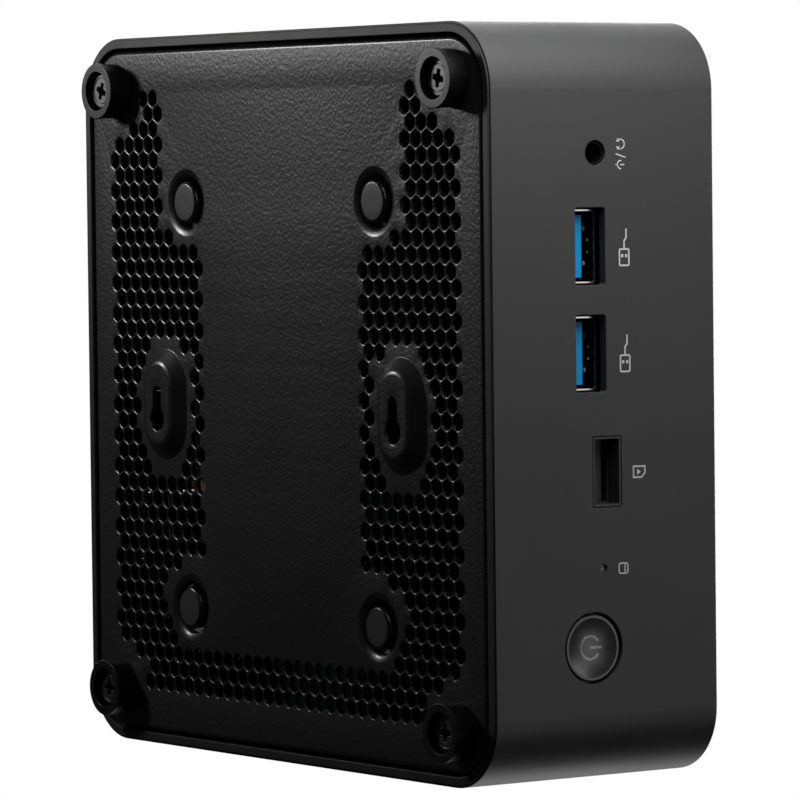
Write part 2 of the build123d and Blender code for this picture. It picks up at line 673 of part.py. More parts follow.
def make_fan_bearing():
    z0 = BLOWER_Z
    ring = rod(BLOWER_X, BLOWER_Y, z0 + 0.2, z0 + 8.0, 2.48)
    return ring - rod(BLOWER_X, BLOWER_Y, z0 + 1.2, z0 + 9.0, 1.0 + RUN)


def make_stator():
    z0 = BLOWER_Z + 1.0
    core = rod(BLOWER_X, BLOWER_Y, z0, z0 + 1.0, 9.0) - rod(BLOWER_X, BLOWER_Y, z0 - 1, z0 + 2, 2.6)
    for i in range(6):
        arm = Rot(0, 0, 60 * i) * Pos(8.0, 0, z0 + 3.4) * Box(8.0, 3.0, 3.4)
        shoe = Rot(0, 0, 60 * i) * Pos(11.6, 0, z0 + 3.4) * Box(1.4, 7.0, 3.4)
        core += Pos(BLOWER_X, BLOWER_Y, 0) * (arm + shoe)
    collar = rod(BLOWER_X, BLOWER_Y, z0, z0 + 5.1, 5.0) - rod(BLOWER_X, BLOWER_Y, z0 - 1, z0 + 6, 2.6)
    return core + collar


def wire(points, r):
    path = Spline(*points)
    d = path % 0
    section = Plane(points[0], z_dir=d) * Circle(r)
    return sweep(section, path=path)


def make_fan_cable():
    out = []
    for i in range(4):
        s = (i - 1.5) * 1.25
        z = 36.0
        out.append(wire([(-22 + s, -44.2, 36.4), (-24 + s, -47.5, z), (-27 + s, -50.5, 34.2),
                         (-28.5 + s, -52.4, 32.6)], 0.45))
    return out


def make_fan_connector():
    header = block(-33.0, -24.0, -57.6, -52.6, BOARD_TOP, BOARD_TOP + 4.2)
    header -= block(-32.2, -24.8, -57.0, -51.0, BOARD_TOP + 0.8, BOARD_TOP + 5)
    plug = block(-32.0, -25.0, -56.8, -53.0, BOARD_TOP + 0.9, BOARD_TOP + 4.6)
    return [header, plug]


# ---------------------------------------------------------------------------
# Under the board: memory, storage, radio and clock battery
# ---------------------------------------------------------------------------

def memory_place(level):
    """Lower face and front edge of a socket; level 1 hangs under level 0 and further forward."""
    return BOARD_Z - MEM_RISE * (level + 1), MEM_Y0 - MEM_STEP * level


def memory_socket(level):
    z0, y0 = memory_place(level)
    bar = block(MEM_X - 35.5, MEM_X + 35.5, y0 - 5.0, y0, z0, BOARD_Z)
    bar -= block(MEM_X - 34.0, MEM_X + 34.0, y0 - 3.4, y0 + 1.0, z0 + 1.3, z0 + 2.6)
    for sx in (-1, 1):
        xa, xb = sorted((MEM_X + sx * 35.5, MEM_X + sx * 36.7))
        bar += block(xa, xb, y0 - 5.0, y0 + 26.0, z0, z0 + 3.4)
    return bar


def memory_module(level):
    z0, y0 = memory_place(level)
    return block(MEM_X - 33.8, MEM_X + 33.8, y0 - 3.2, y0 + 26.8, z0 + 1.4, z0 + 2.5)


def memory_chips(level):
    z0, y0 = memory_place(level)
    out = []
    for i in range(4):
        x = MEM_X - 24.5 + i * 16.4
        out.append(block(x - 5.5, x + 5.5, y0 + 9.8, y0 + 23.8, z0 + 0.4, z0 + 1.4))
        out.append(block(x - 5.5, x + 5.5, y0 + 9.8, y0 + 23.8, z0 + 2.5, z0 + 3.4))
    return out


def make_ssd_socket():
    bar = block(SSD_X - 11.0, SSD_X + 11.0, SSD_Y0, SSD_Y0 + 8.0, BOARD_Z - 4.2, BOARD_Z)
    return bar - block(SSD_X - 10.2, SSD_X + 10.2, SSD_Y0 + 3.0, SSD_Y0 + 9.0, SSD_Z - 0.15, SSD_Z + 1.0)


def make_ssd_module():
    y0 = SSD_Y0 + 3.2
    card = block(SSD_X - 10.0, SSD_X + 10.0, y0, y0 + 6.0, SSD_Z, SSD_Z + 0.8)
    card += block(SSD_X - 11.0, SSD_X + 11.0, y0 + 5.4, y0 + 80.0, SSD_Z, SSD_Z + 0.8)
    return card - rod(SSD_X, y0 + 80.0, SSD_Z - 1, SSD_Z + 2, 2.2)


def make_ssd_chips():
    y0 = SSD_Y0 + 3.2
    out = []
    for dy, w, length in ((14.0, 12.0, 12.0), (33.0, 16.0, 18.0), (56.0, 16.0, 18.0)):
        out.append(block(SSD_X - w / 2, SSD_X + w / 2, y0 + dy, y0 + dy + length, SSD_Z - 1.2, SSD_Z))
    return out


def make_ssd_screw():
    y = SSD_Y0 + 83.2
    post = rod(SSD_X, y, SSD_Z + 0.82, BOARD_Z, 2.6)
    post += rod(SSD_X, y, SSD_Z - 0.02, SSD_Z + 0.9, 1.9)
    head = rod(SSD_X, y, SSD_Z - 1.0, SSD_Z - 0.02, 3.0)
    for a in (0, 90):
        head -= Pos(SSD_X, y, SSD_Z - 1.0) * Rot(0, 0, a) * Box(2.8, 0.6, 1.0)
    return [post, head]


def make_wireless_card():
    x, y, z = WIFI_X, 24.0, BOARD_Z - 2.6
    card = block(x - 11, x + 11, y - 8, y + 20, z, z + 0.8)
    socket = block(x - 11, x + 11, y - 12, y - 8.1, BOARD_Z - 3.4, BOARD_Z)
    can = block(x - 9, x + 9, y - 4, y + 14, z - 1.3, z)
    return [card, socket, can]


def make_antennas():
    out = []
    for sx in (-1, 1):
        xa, xb = sorted((sx * (BODY_W / 2 - WALL - 0.05), sx * (BODY_W / 2 - WALL - 0.45)))
        out.append(block(xa, xb, 2.0, 32.0, 14.0, 24.0))
    return out


def make_antenna_cables():
    z = BOARD_Z - 4.4
    xa, xb = WIFI_PLUGS
    left = wire([(xa, 41.6, z), (-50.0, 44.2, 23.4), (-58.0, 37.5, 20.5), (-63.4, 28.0, 19.5),
                 (-64.7, 20.0, 19.0)], 0.55)
    right = wire([(xb, 41.6, z), (-20.0, 43.6, 22.0), (10.0, 47.0, 12.0), (50.0, 40.0, 12.5),
                  (63.0, 28.0, 16.5), (64.7, 20.0, 18.0)], 0.55)
    plugs = [rod(x, 40.4, BOARD_Z - 4.9, BOARD_Z - 2.62, 1.5) for x in WIFI_PLUGS]
    return [left + plugs[0], right + plugs[1]]


def make_coin_cell():
    x, y = CELL_X, CELL_Y
    cell = rod(x, y, BOARD_Z - 4.2, BOARD_Z - 1.0, 10.0)
    cell = fillet(cell.edges().filter_by(GeomType.CIRCLE), 0.4)
    holder = block(x - 11.5, x + 11.5, y - 6, y + 6, BOARD_Z - 1.0, BOARD_Z)
    holder += block(x - 11.5, x - 10.2, y - 6, y + 6, BOARD_Z - 4.6, BOARD_Z)
    holder += block(x + 10.2, x + 11.5, y - 6, y + 6, BOARD_Z - 4.6, BOARD_Z)
    return cell, holder


def make_board_parts():
    out = []
    top = BOARD_TOP
    for i in range(5):
        out.append(block(26, 33, -24 + i * 8.6, -17 + i * 8.6, top, top + 3.0))
    for i in range(6):
        out.append(rod(40, -26 + i * 8.0, top, top + 5.5, 3.1))
    for x0, y0, w, d, h in ((-48, -30, 9, 9, 1.0), (-54, 8, 7, 7, 0.9), (44, 24, 6, 5, 1.2),
                            (-48, 22, 8, 8, 1.0), (21, -46, 8, 5, 1.2)):
        out.append(block(x0, x0 + w, y0, y0 + d, top, top + h))
    for x0, y0, w, d, h in ((-4, 14, 12, 12, 1.2), (8, 31, 6, 5, 1.4), (-8, -42, 9, 9, 1.0),
                            (54, -8, 4, 6, 1.2)):
        out.append(block(x0, x0 + w, y0, y0 + d, BOARD_Z - h, BOARD_Z))
    for x, y in BLOWER_POSTS:
        out.append(rod(x, y, top, BLOWER_Z - 0.02, 2.4) - rod(x, y, top + 2, BLOWER_Z + 1, 1.02))
    out.append(block(LED_X - 0.8, LED_X + 0.8, BOARD_EDGE + 0.1, BOARD_EDGE + 1.4, 28.1, BOARD_Z))
    return out


# ---------------------------------------------------------------------------
# Rear panel
# ---------------------------------------------------------------------------

def make_rear_plate():
    zc = (REAR_OPEN_Z0 + REAR_OPEN_Z1) / 2
    h = REAR_OPEN_Z1 - REAR_OPEN_Z0
    y0 = REAR_Y - PLATE_T
    plate = slab_y(2 * REAR_OPEN_X - 0.2, h - 0.2, 1.4, y0, REAR_Y - 0.02, 0, zc)
    cut = (y0 - 1, REAR_Y + 1)
    plate -= rod_y(DC_X, DC_Z, cut[0], cut[1], 3.75)
    for x in VIDEO_XS:
        plate -= slab_y(15.2, 5.8, 0.3, cut[0], cut[1], x, VIDEO_Z)
    plate -= slab_y(16.1, 13.1, 0.02, cut[0], cut[1], NET_X, NET_Z0 + 6.9)
    for z in USB_STACK:
        plate -= slab_y(13.2, 5.8, 0.6, cut[0], cut[1], USB_REAR_X, z)
    plate -= slab_y(9.05, 3.3, 1.6, cut[0], cut[1], USB_C_X, USB_C_Z)
    # exhaust slots above the ports
    for i in range(30):
        x = -36.25 + i * 2.5
        plate -= slab_y(1.4, 11.0, 0.69, cut[0], cut[1], x, 41.0)
    return plate


def make_dc_inlet():
    body = block(DC_X - 4.5, DC_X + 4.5, REAR_Y - 14.5, REAR_Y - PLATE_T - 0.1, DC_Z - 5.4, BOARD_Z)
    body += rod_y(DC_X, DC_Z, REAR_Y - PLATE_T - 0.6, REAR_Y - 0.1, 3.7)
    return body - rod_y(DC_X, DC_Z, REAR_Y - 11.0, REAR_Y + 1, 2.95)


def make_dc_pin():
    pin = rod_y(DC_X, DC_Z, REAR_Y - 11.0, REAR_Y - 1.6, 1.2)
    return fillet(pin.edges().filter_by(GeomType.CIRCLE).group_by(Axis.Y)[-1], 0.6)


def video_shell(x):
    w, h, t = 15.0, 5.6, 0.35
    pts = [(-w / 2, h / 2), (w / 2, h / 2), (w / 2, -h / 2 + 2.0), (w / 2 - 1.8, -h / 2),
           (-w / 2 + 1.8, -h / 2), (-w / 2, -h / 2 + 2.0)]
    frame = Plane((x, PORT_Y - 11.0, VIDEO_Z), x_dir=(1, 0, 0), z_dir=(0, -1, 0))
    face = make_face(Polyline(*pts, close=True))
    inner = offset(face, -t, kind=Kind.INTERSECTION)
    shell = extrude(frame * face, -11.0)
    hollow = extrude(Plane((x, PORT_Y - 10.6, VIDEO_Z), x_dir=(1, 0, 0), z_dir=(0, -1, 0)) * inner, -12.0)
    return shell - hollow


def video_tongue(x):
    back = block(x - 5.0, x + 5.0, PORT_Y - 10.55, PORT_Y - 7.5, VIDEO_Z - 1.9, VIDEO_Z + 2.2)
    return back + block(x - 5.6, x + 5.6, PORT_Y - 7.6, PORT_Y - 0.8, VIDEO_Z - 0.55, VIDEO_Z + 0.75)


def make_network_jack():
    x = NET_X
    y0 = PORT_Y - 21.0
    shell = block(x - 8.0, x + 8.0, y0, PORT_Y, NET_Z0 + 0.4, BOARD_Z)
    zb = NET_Z0 + 2.0
    shell -= block(x - 5.9, x + 5.9, PORT_Y - 13.0, PORT_Y + 1, zb + 1.6, zb + 9.2)
    shell -= block(x - 3.1, x + 3.1, PORT_Y - 13.0, PORT_Y + 1, zb, zb + 2.0)
    return shell


def make_network_contacts():
    zb = NET_Z0 + 2.0
    out = []
    for i in range(8):
        x = NET_X + (i - 3.5) * 1.02
        out.append(block(x - 0.22, x + 0.22, PORT_Y - 12.9, PORT_Y - 3.0, zb + 8.7, zb + 9.15))
    return out


def usb_c_shell():
    shell = slab_y(8.94, 3.2, 1.55, PORT_Y - 7.8, PORT_Y, USB_C_X, USB_C_Z)
    return shell - slab_y(8.4, 2.6, 1.25, PORT_Y - 7.4, PORT_Y + 1, USB_C_X, USB_C_Z)


def usb_c_tongue():
    back = slab_y(8.3, 2.5, 1.2, PORT_Y - 7.3, PORT_Y - 5.4, USB_C_X, USB_C_Z)
    return back + block(USB_C_X - 3.35, USB_C_X + 3.35, PORT_Y - 5.5, PORT_Y - 0.6,
                        USB_C_Z - 0.35, USB_C_Z + 0.35)


# ---------------------------------------------------------------------------
# Write every node
# ---------------------------------------------------------------------------

save(make_housing(), "housing")
save(make_top_panel(), "top_panel")
save(make_bottom_cover(), "bottom_cover")
group([make_foot(x, y) for x, y in corners()], "rubber_feet")
group([make_plug(x, y) for x in WELL_XS for y in (-WELL_Y, WELL_Y)], "hole_plugs")
group([make_insert(x, y) for x, y in corners()], "brass_inserts")
save(make_cover_screw(-FOOT_X, -FOOT_Y, 12), "cover_screw_front_left")
save(make_cover_screw(FOOT_X, -FOOT_Y, 0), "cover_screw_front_right")
save(make_cover_screw(-FOOT_X, FOOT_Y, 20), "cover_screw_rear_left")
save(make_cover_screw(FOOT_X, FOOT_Y, 5), "cover_screw_rear_right")

save(make_button(), "power_button")
save(make_plunger(), "switch_plunger")
save(make_switch(), "power_switch")
save(rod_y(LED_X, LED_Z, FRONT_Y + 0.4, BOARD_EDGE - 0.1, LED_R), "led_light_pipe")
save(make_audio_jack(), "audio_jack")
group(make_audio_contacts(), "audio_jack_contacts")

mouth = FRONT_Y + USB_MOUTH
group([usb_shell(x, USB_Z, mouth, 1) for x in USB_XS], "usb_front_shells")
group([usb_tongue(x, USB_Z, mouth, 1, -1) for x in USB_XS], "usb_front_tongues")
contacts = []
for x in USB_XS:
    contacts += usb_contacts(x, USB_Z, mouth, 1, -1)
group(contacts, "usb_front_contacts")

save(make_card_bezel(), "card_slot_bezel")
save(make_card_reader(), "card_reader")
group(make_card_contacts(), "card_reader_contacts")

save(make_board(), "mainboard")
group([make_board_screw(x, y) for x in (-BOSS_X, BOSS_X) for y in BOSS_YS], "board_screws")
group(make_board_parts(), "board_parts")
save(make_processor(), "processor")
save(make_cold_plate(), "cold_plate")
group([make_cooler_screw(x, y) for x, y in cooler_posts()], "cooler_screws")
group([make_heat_pipe(-1), make_heat_pipe(1)], "heat_pipes")
save(make_fins(), "fin_stack")
save(make_blower_base(), "blower_base")
save(make_blower_cover(), "blower_cover")
group([make_blower_screw(x, y) for x, y in BLOWER_POSTS], "blower_screws")
save(make_impeller(), "impeller")
save(make_fan_bearing(), "fan_bearing")
save(make_stator(), "fan_stator")
group(make_fan_cable(), "fan_cable")
group(make_fan_connector(), "fan_connector")

group([memory_socket(0), memory_socket(1)], "memory_sockets")
group([memory_module(0), memory_module(1)], "memory_modules")
group(memory_chips(0) + memory_chips(1), "memory_chips")
save(make_ssd_socket(), "ssd_socket")
save(make_ssd_module(), "ssd_module")
group(make_ssd_chips(), "ssd_chips")
group(make_ssd_screw(), "ssd_screw")
group(make_wireless_card(), "wireless_card")
group(make_antennas(), "antennas")
group(make_antenna_cables(), "antenna_cables")
cell, holder = make_coin_cell()
save(cell, "coin_cell")
save(holder, "coin_cell_holder")

save(make_rear_plate(), "rear_io_plate")
save(make_dc_inlet(), "dc_inlet")
save(make_dc_pin(), "dc_inlet_pin")
group([video_shell(x) for x in VIDEO_XS], "video_port_shells")
group([video_tongue(x) for x in VIDEO_XS], "video_port_tongues")
save(make_network_jack(), "network_jack")
group(make_network_contacts(), "network_jack_contacts")
rear_shells = [usb_shell(USB_REAR_X, z, PORT_Y, -1) for z in USB_STACK] + [usb_c_shell()]
group(rear_shells, "usb_rear_shells")
rear_tongues = [usb_tongue(USB_REAR_X, z, PORT_Y, -1, -1) for z in USB_STACK] + [usb_c_tongue()]
group(rear_tongues, "usb_rear_tongues")
contacts = []
for z in USB_STACK:
    contacts += usb_contacts(USB_REAR_X, z, PORT_Y, -1, -1)
group(contacts, "usb_rear_contacts")
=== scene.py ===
import bpy
import math
from mathutils import Vector, Matrix
from mathutils.geometry import delaunay_2d_cdt


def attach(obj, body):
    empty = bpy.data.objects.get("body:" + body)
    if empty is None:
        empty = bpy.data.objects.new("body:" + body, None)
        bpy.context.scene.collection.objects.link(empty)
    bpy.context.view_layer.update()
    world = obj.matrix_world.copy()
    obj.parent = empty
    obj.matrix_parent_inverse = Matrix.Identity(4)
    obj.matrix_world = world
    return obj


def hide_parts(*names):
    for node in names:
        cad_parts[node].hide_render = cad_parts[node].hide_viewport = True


# Small desktop computer: looks. Lengths are in millimetres until mesh() scales them to metres.
# Lights, floor and camera are placed in metres.
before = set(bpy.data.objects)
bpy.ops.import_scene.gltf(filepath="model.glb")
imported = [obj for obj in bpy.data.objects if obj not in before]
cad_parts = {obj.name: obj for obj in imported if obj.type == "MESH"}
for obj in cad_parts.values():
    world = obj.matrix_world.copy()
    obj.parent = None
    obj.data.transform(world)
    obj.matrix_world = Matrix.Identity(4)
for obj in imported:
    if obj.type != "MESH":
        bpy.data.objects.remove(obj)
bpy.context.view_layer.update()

MM = 0.001
FRONT = -66.8
SHELL_FRONT = FRONT + 2.35

# ---------------------------------------------------------------------------
# Materials
# ---------------------------------------------------------------------------

BLOTCH_SCALE = 55.0
COAT_ROUGH = 0.15
# Nearly black, painted as shade inside the front sockets.
INSIDE_SHADE_BLACK = (0.02, 0.02, 0.02, 1)


def add_node(tree, kind, **values):
    """New shader node with some inputs set. An underscore in an input's name stands for a space."""
    node = tree.nodes.new("ShaderNode" + kind)
    for name, value in values.items():
        node.inputs[name.replace("_", " ")].default_value = value
    return node


def add_mix(tree, factor, first, second):
    """Mix a colour, or another node's output, with a second colour. Returns the output."""
    node = tree.nodes.new("ShaderNodeMix")
    node.data_type = "RGBA"
    tree.links.new(factor, node.inputs["Factor"])
    if isinstance(first, tuple):
        node.inputs["A"].default_value = first
    else:
        tree.links.new(first, node.inputs["A"])
    node.inputs["B"].default_value = second
    return node.outputs["Result"]


def shade(color, gain, lift=0.0):
    """A colour made lighter or darker, with its alpha."""
    return tuple(min(1, c * gain + lift) for c in color) + (1,)


def make_material(name, color, rough, metallic=0.0, grain=0.0, size=0.35, blotch=0.12, edge=0.15,
                  wear=0.25, rough_var=0.08, spec=0.5, coat=0.0, transmission=0.0, speckle=0.0,
                  relief=0.05):
    """Procedural finish. grain is the strength of a relief with bumps of the given size and depth
    (relief), in mm. edge is the rounding of the edges in mm, and wear is how much lighter they are."""
    mat = bpy.data.materials.new(name)
    mat.use_nodes = True
    tree = mat.node_tree
    link = tree.links.new
    bsdf = tree.nodes["Principled BSDF"]
    place = add_node(tree, "TexCoord").outputs["Object"]
    fine = add_node(tree, "TexNoise", Scale=1 / MM / size, Detail=2.0)
    link(place, fine.inputs["Vector"])
    broad = add_node(tree, "TexNoise", Scale=BLOTCH_SCALE, Detail=5.0, Roughness=0.6)
    link(place, broad.inputs["Vector"])

    # colour: broad tone drift, then fine speckle
    tone = add_mix(tree, broad.outputs["Fac"], shade(color, 1 - blotch), shade(color, 1 + blotch))
    grit = add_node(tree, "MapRange", From_Min=0.58, From_Max=0.75, To_Max=speckle)
    link(fine.outputs["Fac"], grit.inputs["Value"])
    flecks = add_mix(tree, grit.outputs["Result"], tone, shade(color, 3, 0.04))

    # edges: where a rounded normal leaves the true one, the finish has rubbed lighter
    round_edge = add_node(tree, "Bevel", Radius=edge * MM)
    round_edge.samples = 6
    true_normal = add_node(tree, "NewGeometry").outputs["Normal"]
    dot = add_node(tree, "VectorMath")
    dot.operation = "DOT_PRODUCT"
    link(round_edge.outputs["Normal"], dot.inputs[0])
    link(true_normal, dot.inputs[1])
    rub = add_node(tree, "MapRange", From_Min=0.97, From_Max=0.70, To_Max=wear)
    link(dot.outputs["Value"], rub.inputs["Value"])
    patchy = add_node(tree, "Math")
    patchy.operation = "MULTIPLY"
    link(rub.outputs["Result"], patchy.inputs[0])
    link(broad.outputs["Fac"], patchy.inputs[1])
    worn = add_mix(tree, patchy.outputs["Value"], flecks, shade(color, 1.8, 0.05))
    link(worn, bsdf.inputs["Base Color"])

    gloss = add_node(tree, "MapRange", To_Min=max(0.02, rough - rough_var),
                     To_Max=min(1.0, rough + rough_var))
    link(broad.outputs["Fac"], gloss.inputs["Value"])
    link(gloss.outputs["Result"], bsdf.inputs["Roughness"])

    bump = add_node(tree, "Bump", Strength=grain, Distance=relief * MM)
    link(fine.outputs["Fac"], bump.inputs["Height"])
    link(round_edge.outputs["Normal"], bump.inputs["Normal"])
    link(bump.outputs["Normal"], bsdf.inputs["Normal"])

    bsdf.inputs["Metallic"].default_value = metallic
    bsdf.inputs["Specular IOR Level"].default_value = spec
    bsdf.inputs["Coat Weight"].default_value = coat
    bsdf.inputs["Coat Roughness"].default_value = COAT_ROUGH
    bsdf.inputs["Transmission Weight"].default_value = transmission
    return mat


FINISHES = {
    # case and cover
    "shell": dict(color=(0.030, 0.030, 0.031), rough=0.52, grain=0.30, size=0.30, blotch=0.05,
                  edge=0.25, speckle=0.10),
    "gloss": dict(color=(0.008, 0.008, 0.009), rough=0.16, grain=0.03, size=1.2, blotch=0.2,
                  edge=0.2, wear=0.2, rough_var=0.05, coat=0.4),
    "cover": dict(color=(0.024, 0.024, 0.0245), rough=0.42, grain=1.0, size=0.70, blotch=0.06,
                  edge=0.02, wear=0.04, speckle=0.04, rough_var=0.03, relief=0.10),
    "cover_formed": dict(color=(0.017, 0.017, 0.0172), rough=0.31, grain=0.5, size=0.6, blotch=0.08,
                         edge=0.02, wear=0.04, rough_var=0.02, relief=0.03, spec=0.68),
    "rubber": dict(color=(0.005, 0.005, 0.005), rough=0.41, grain=0.35, size=0.4, blotch=0.15,
                   wear=0.05, spec=0.6, speckle=0.01),
    "plug": dict(color=(0.058, 0.058, 0.059), rough=0.44, grain=0.25, size=0.3, blotch=0.06,
                 edge=0.02, wear=0.05, speckle=0.04),
    "plug_edge": dict(color=(0.012, 0.012, 0.0125), rough=0.28, grain=0.2, size=0.3, blotch=0.06,
                      edge=0.02, wear=0.05),
    "button": dict(color=(0.024, 0.024, 0.025), rough=0.31, spec=0.8, grain=0.18, size=0.25,
                   blotch=0.05, wear=0.3, speckle=0.05),
    # plastics
    "dark": dict(color=(0.012, 0.012, 0.013), rough=0.45, grain=0.15, size=0.4, blotch=0.15,
                 edge=0.1, wear=0.2),
    "fan": dict(color=(0.010, 0.010, 0.011), rough=0.38, grain=0.10, size=0.5, blotch=0.15,
                edge=0.1, wear=0.15),
    "blue": dict(color=(0.0, 0.33, 0.74), rough=0.45, grain=0.10, size=0.3, blotch=0.05,
                 edge=0.08, wear=0.0, spec=0.15),
    "jet": dict(color=(0.003, 0.003, 0.003), rough=0.6, grain=0.10, size=0.3, blotch=0.2,
                edge=0.1, wear=0.05, spec=0.15),
    "wire": dict(color=(0.016, 0.016, 0.017), rough=0.5, grain=0.10, size=0.4, blotch=0.2,
                 edge=0.05, wear=0.1),
    "white": dict(color=(0.60, 0.57, 0.50), rough=0.45, grain=0.10, size=0.3, blotch=0.06,
                  edge=0.1, wear=0.2),
    "clear": dict(color=(0.13, 0.13, 0.135), rough=0.35, grain=0.10, size=0.2, blotch=0.05,
                  edge=0.1, wear=0.1, transmission=0.25),
    # metals
    "screw_dark": dict(color=(0.15, 0.15, 0.153), rough=0.44, metallic=1.0, grain=0.6, size=0.4,
                       blotch=0.25, edge=0.12, wear=0.4, rough_var=0.1),
    "steel": dict(color=(0.56, 0.56, 0.57), rough=0.30, metallic=1.0, grain=0.10, size=0.3,
                  blotch=0.10, edge=0.12, wear=0.4),
    "nickel": dict(color=(0.62, 0.61, 0.60), rough=0.22, metallic=1.0, grain=0.08, size=0.5,
                   blotch=0.08, edge=0.1, wear=0.3),
    "port_shell": dict(color=(0.62, 0.61, 0.60), rough=0.24, metallic=1.0, grain=0.08, size=0.5,
                       blotch=0.08, edge=0.05, wear=0.2),
    # light grey, not the shell's nickel: painted light on the dimples and glints in the unlit socket
    "dimple_painted_light": dict(color=(0.62, 0.58, 0.60), rough=0.5, grain=0.10, size=0.2, blotch=0.1,
                   edge=0.05, wear=0.1),
    "brass": dict(color=(0.62, 0.44, 0.18), rough=0.30, metallic=1.0, grain=0.10, size=0.3,
                  edge=0.1, wear=0.3),
    "gold": dict(color=(0.85, 0.62, 0.26), rough=0.22, metallic=1.0, grain=0.05, size=0.3,
                 blotch=0.10, edge=0.05, wear=0.2),
    "copper": dict(color=(0.30, 0.17, 0.11), rough=0.34, metallic=1.0, grain=0.12, size=0.4,
                   blotch=0.22, edge=0.2, wear=0.3),
    "alloy": dict(color=(0.66, 0.66, 0.68), rough=0.32, metallic=1.0, grain=0.10, size=0.4,
                  blotch=0.08, edge=0.08, wear=0.2),
    "foil": dict(color=(0.45, 0.30, 0.16), rough=0.40, metallic=0.8, grain=0.15, size=0.5,
                 blotch=0.20, edge=0.05, wear=0.2),
    # electronics
    "board": dict(color=(0.008, 0.050, 0.028), rough=0.35, grain=0.20, size=0.8, blotch=0.30,
                  edge=0.1, wear=0.3, speckle=0.25),
    "chip": dict(color=(0.018, 0.018, 0.019), rough=0.48, grain=0.20, size=0.2,
                 edge=0.1, wear=0.3, speckle=0.05),
    "silicon": dict(color=(0.05, 0.09, 0.07), rough=0.20, grain=0.05, size=0.3, blotch=0.15,
                    edge=0.1, wear=0.2),
    # inks
    "print": dict(color=(0.66, 0.66, 0.66), rough=0.60, grain=0.15, size=0.12, blotch=0.10,
                  edge=0.03, wear=0.1),
    "symbol": dict(color=(0.20, 0.20, 0.205), rough=0.25, metallic=0.6, grain=0.10, size=0.15,
                   blotch=0.10, edge=0.05, wear=0.2),
}
M = {name: make_material(name, **finish) for name, finish in FINISHES.items()}

LOOKS = {
    "shell": "housing card_slot_bezel",
    "gloss": "top_panel",
    "cover": "bottom_cover",
    "rubber": "rubber_feet",
    "plug": "hole_plugs",
    "button": "power_button",
    "dark": "switch_plunger power_switch blower_base memory_sockets ssd_socket"
            " coin_cell_holder dc_inlet video_port_tongues network_jack fan_stator",
    "fan": "impeller",
    "blue": "usb_front_tongues usb_rear_tongues",
    "jet": "audio_jack",
    "wire": "fan_cable antenna_cables",
    "white": "fan_connector",
    "clear": "led_light_pipe",
    "screw_dark": "cover_screw_front_left cover_screw_front_right cover_screw_rear_left"
                  " cover_screw_rear_right",
    "steel": "board_screws cooler_screws blower_screws ssd_screw coin_cell",
    "nickel": "usb_rear_shells video_port_shells card_reader wireless_card"
              " rear_io_plate dc_inlet_pin",
    "port_shell": "usb_front_shells",
    "brass": "brass_inserts fan_bearing",
    "gold": "usb_front_contacts usb_rear_contacts card_reader_contacts network_jack_contacts"
            " audio_jack_contacts",
    "copper": "heat_pipes cold_plate",
    "alloy": "fin_stack blower_cover",
    "foil": "antennas",
    "board": "mainboard memory_modules ssd_module",
    "chip": "board_parts memory_chips ssd_chips",
    "silicon": "processor",
}


def paint_shade_inside(mat, start, end):
    """Painted shade: fade a finish to nearly black behind the front opening, where the inside lies in
    shade (start and end along Y, in mm).
    """
    tree = mat.node_tree
    bsdf = tree.nodes["Principled BSDF"]
    finish = bsdf.inputs["Base Color"].links[0].from_socket
    split = add_node(tree, "SeparateXYZ")
    tree.links.new(add_node(tree, "TexCoord").outputs["Object"], split.inputs["Vector"])
    depth = add_node(tree, "MapRange", From_Min=start * MM, From_Max=end * MM)
    tree.links.new(split.outputs["Y"], depth.inputs["Value"])
    fade = add_mix(tree, depth.outputs["Result"], finish, INSIDE_SHADE_BLACK)
    tree.links.new(fade, bsdf.inputs["Base Color"])


def matte_sides(mat, side, face):
    """Ground tread, dull moulded sides: the sheen follows the part's own vertical normal."""
    tree = mat.node_tree
    split = add_node(tree, "SeparateXYZ")
    tree.links.new(add_node(tree, "TexCoord").outputs["Normal"], split.inputs["Vector"])
    sheen = add_node(tree, "MapRange", From_Min=-0.6, From_Max=-0.9, To_Min=side, To_Max=face)
    tree.links.new(split.outputs["Z"], sheen.inputs["Value"])
    bsdf = tree.nodes["Principled BSDF"]
    tree.links.new(sheen.outputs["Result"], bsdf.inputs["Specular IOR Level"])


# Painted shade: the front sockets' shells fade to nearly black inside.
paint_shade_inside(M["port_shell"], SHELL_FRONT + 0.15, SHELL_FRONT + 0.45)
matte_sides(M["rubber"], 0.08, 0.62)
for look, nodes in LOOKS.items():
    for node in nodes.split():
        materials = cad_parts[node].data.materials
        materials.clear()
        materials.append(M[look])

# ---------------------------------------------------------------------------
# Mesh and outline helpers
# ---------------------------------------------------------------------------

MARK_LIFT = 0.02
MARK_SUNK = 0.03
SHARPEST_MITRE = 0.4


def mesh(name, verts, faces, look, body, sharp=35.0, formed=None, flat=0):
    """Build an object. The first flat faces are faceted. The rest are smooth, in the formed look."""
    data = bpy.data.meshes.new(name)
    data.from_pydata([(x * MM, y * MM, z * MM) for x, y, z in verts], [], faces)
    count = len(data.polygons)
    data.materials.append(M[look])
    if formed:
        data.materials.append(M[formed])
        data.polygons.foreach_set("material_index", [0] * flat + [1] * (count - flat))
    data.polygons.foreach_set("use_smooth", [False] * flat + [True] * (count - flat))
    data.validate()
    data.set_sharp_from_angle(angle=math.radians(sharp))
    obj = bpy.data.objects.new(name, data)
    bpy.context.scene.collection.objects.link(obj)
    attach(obj, body)
    return obj


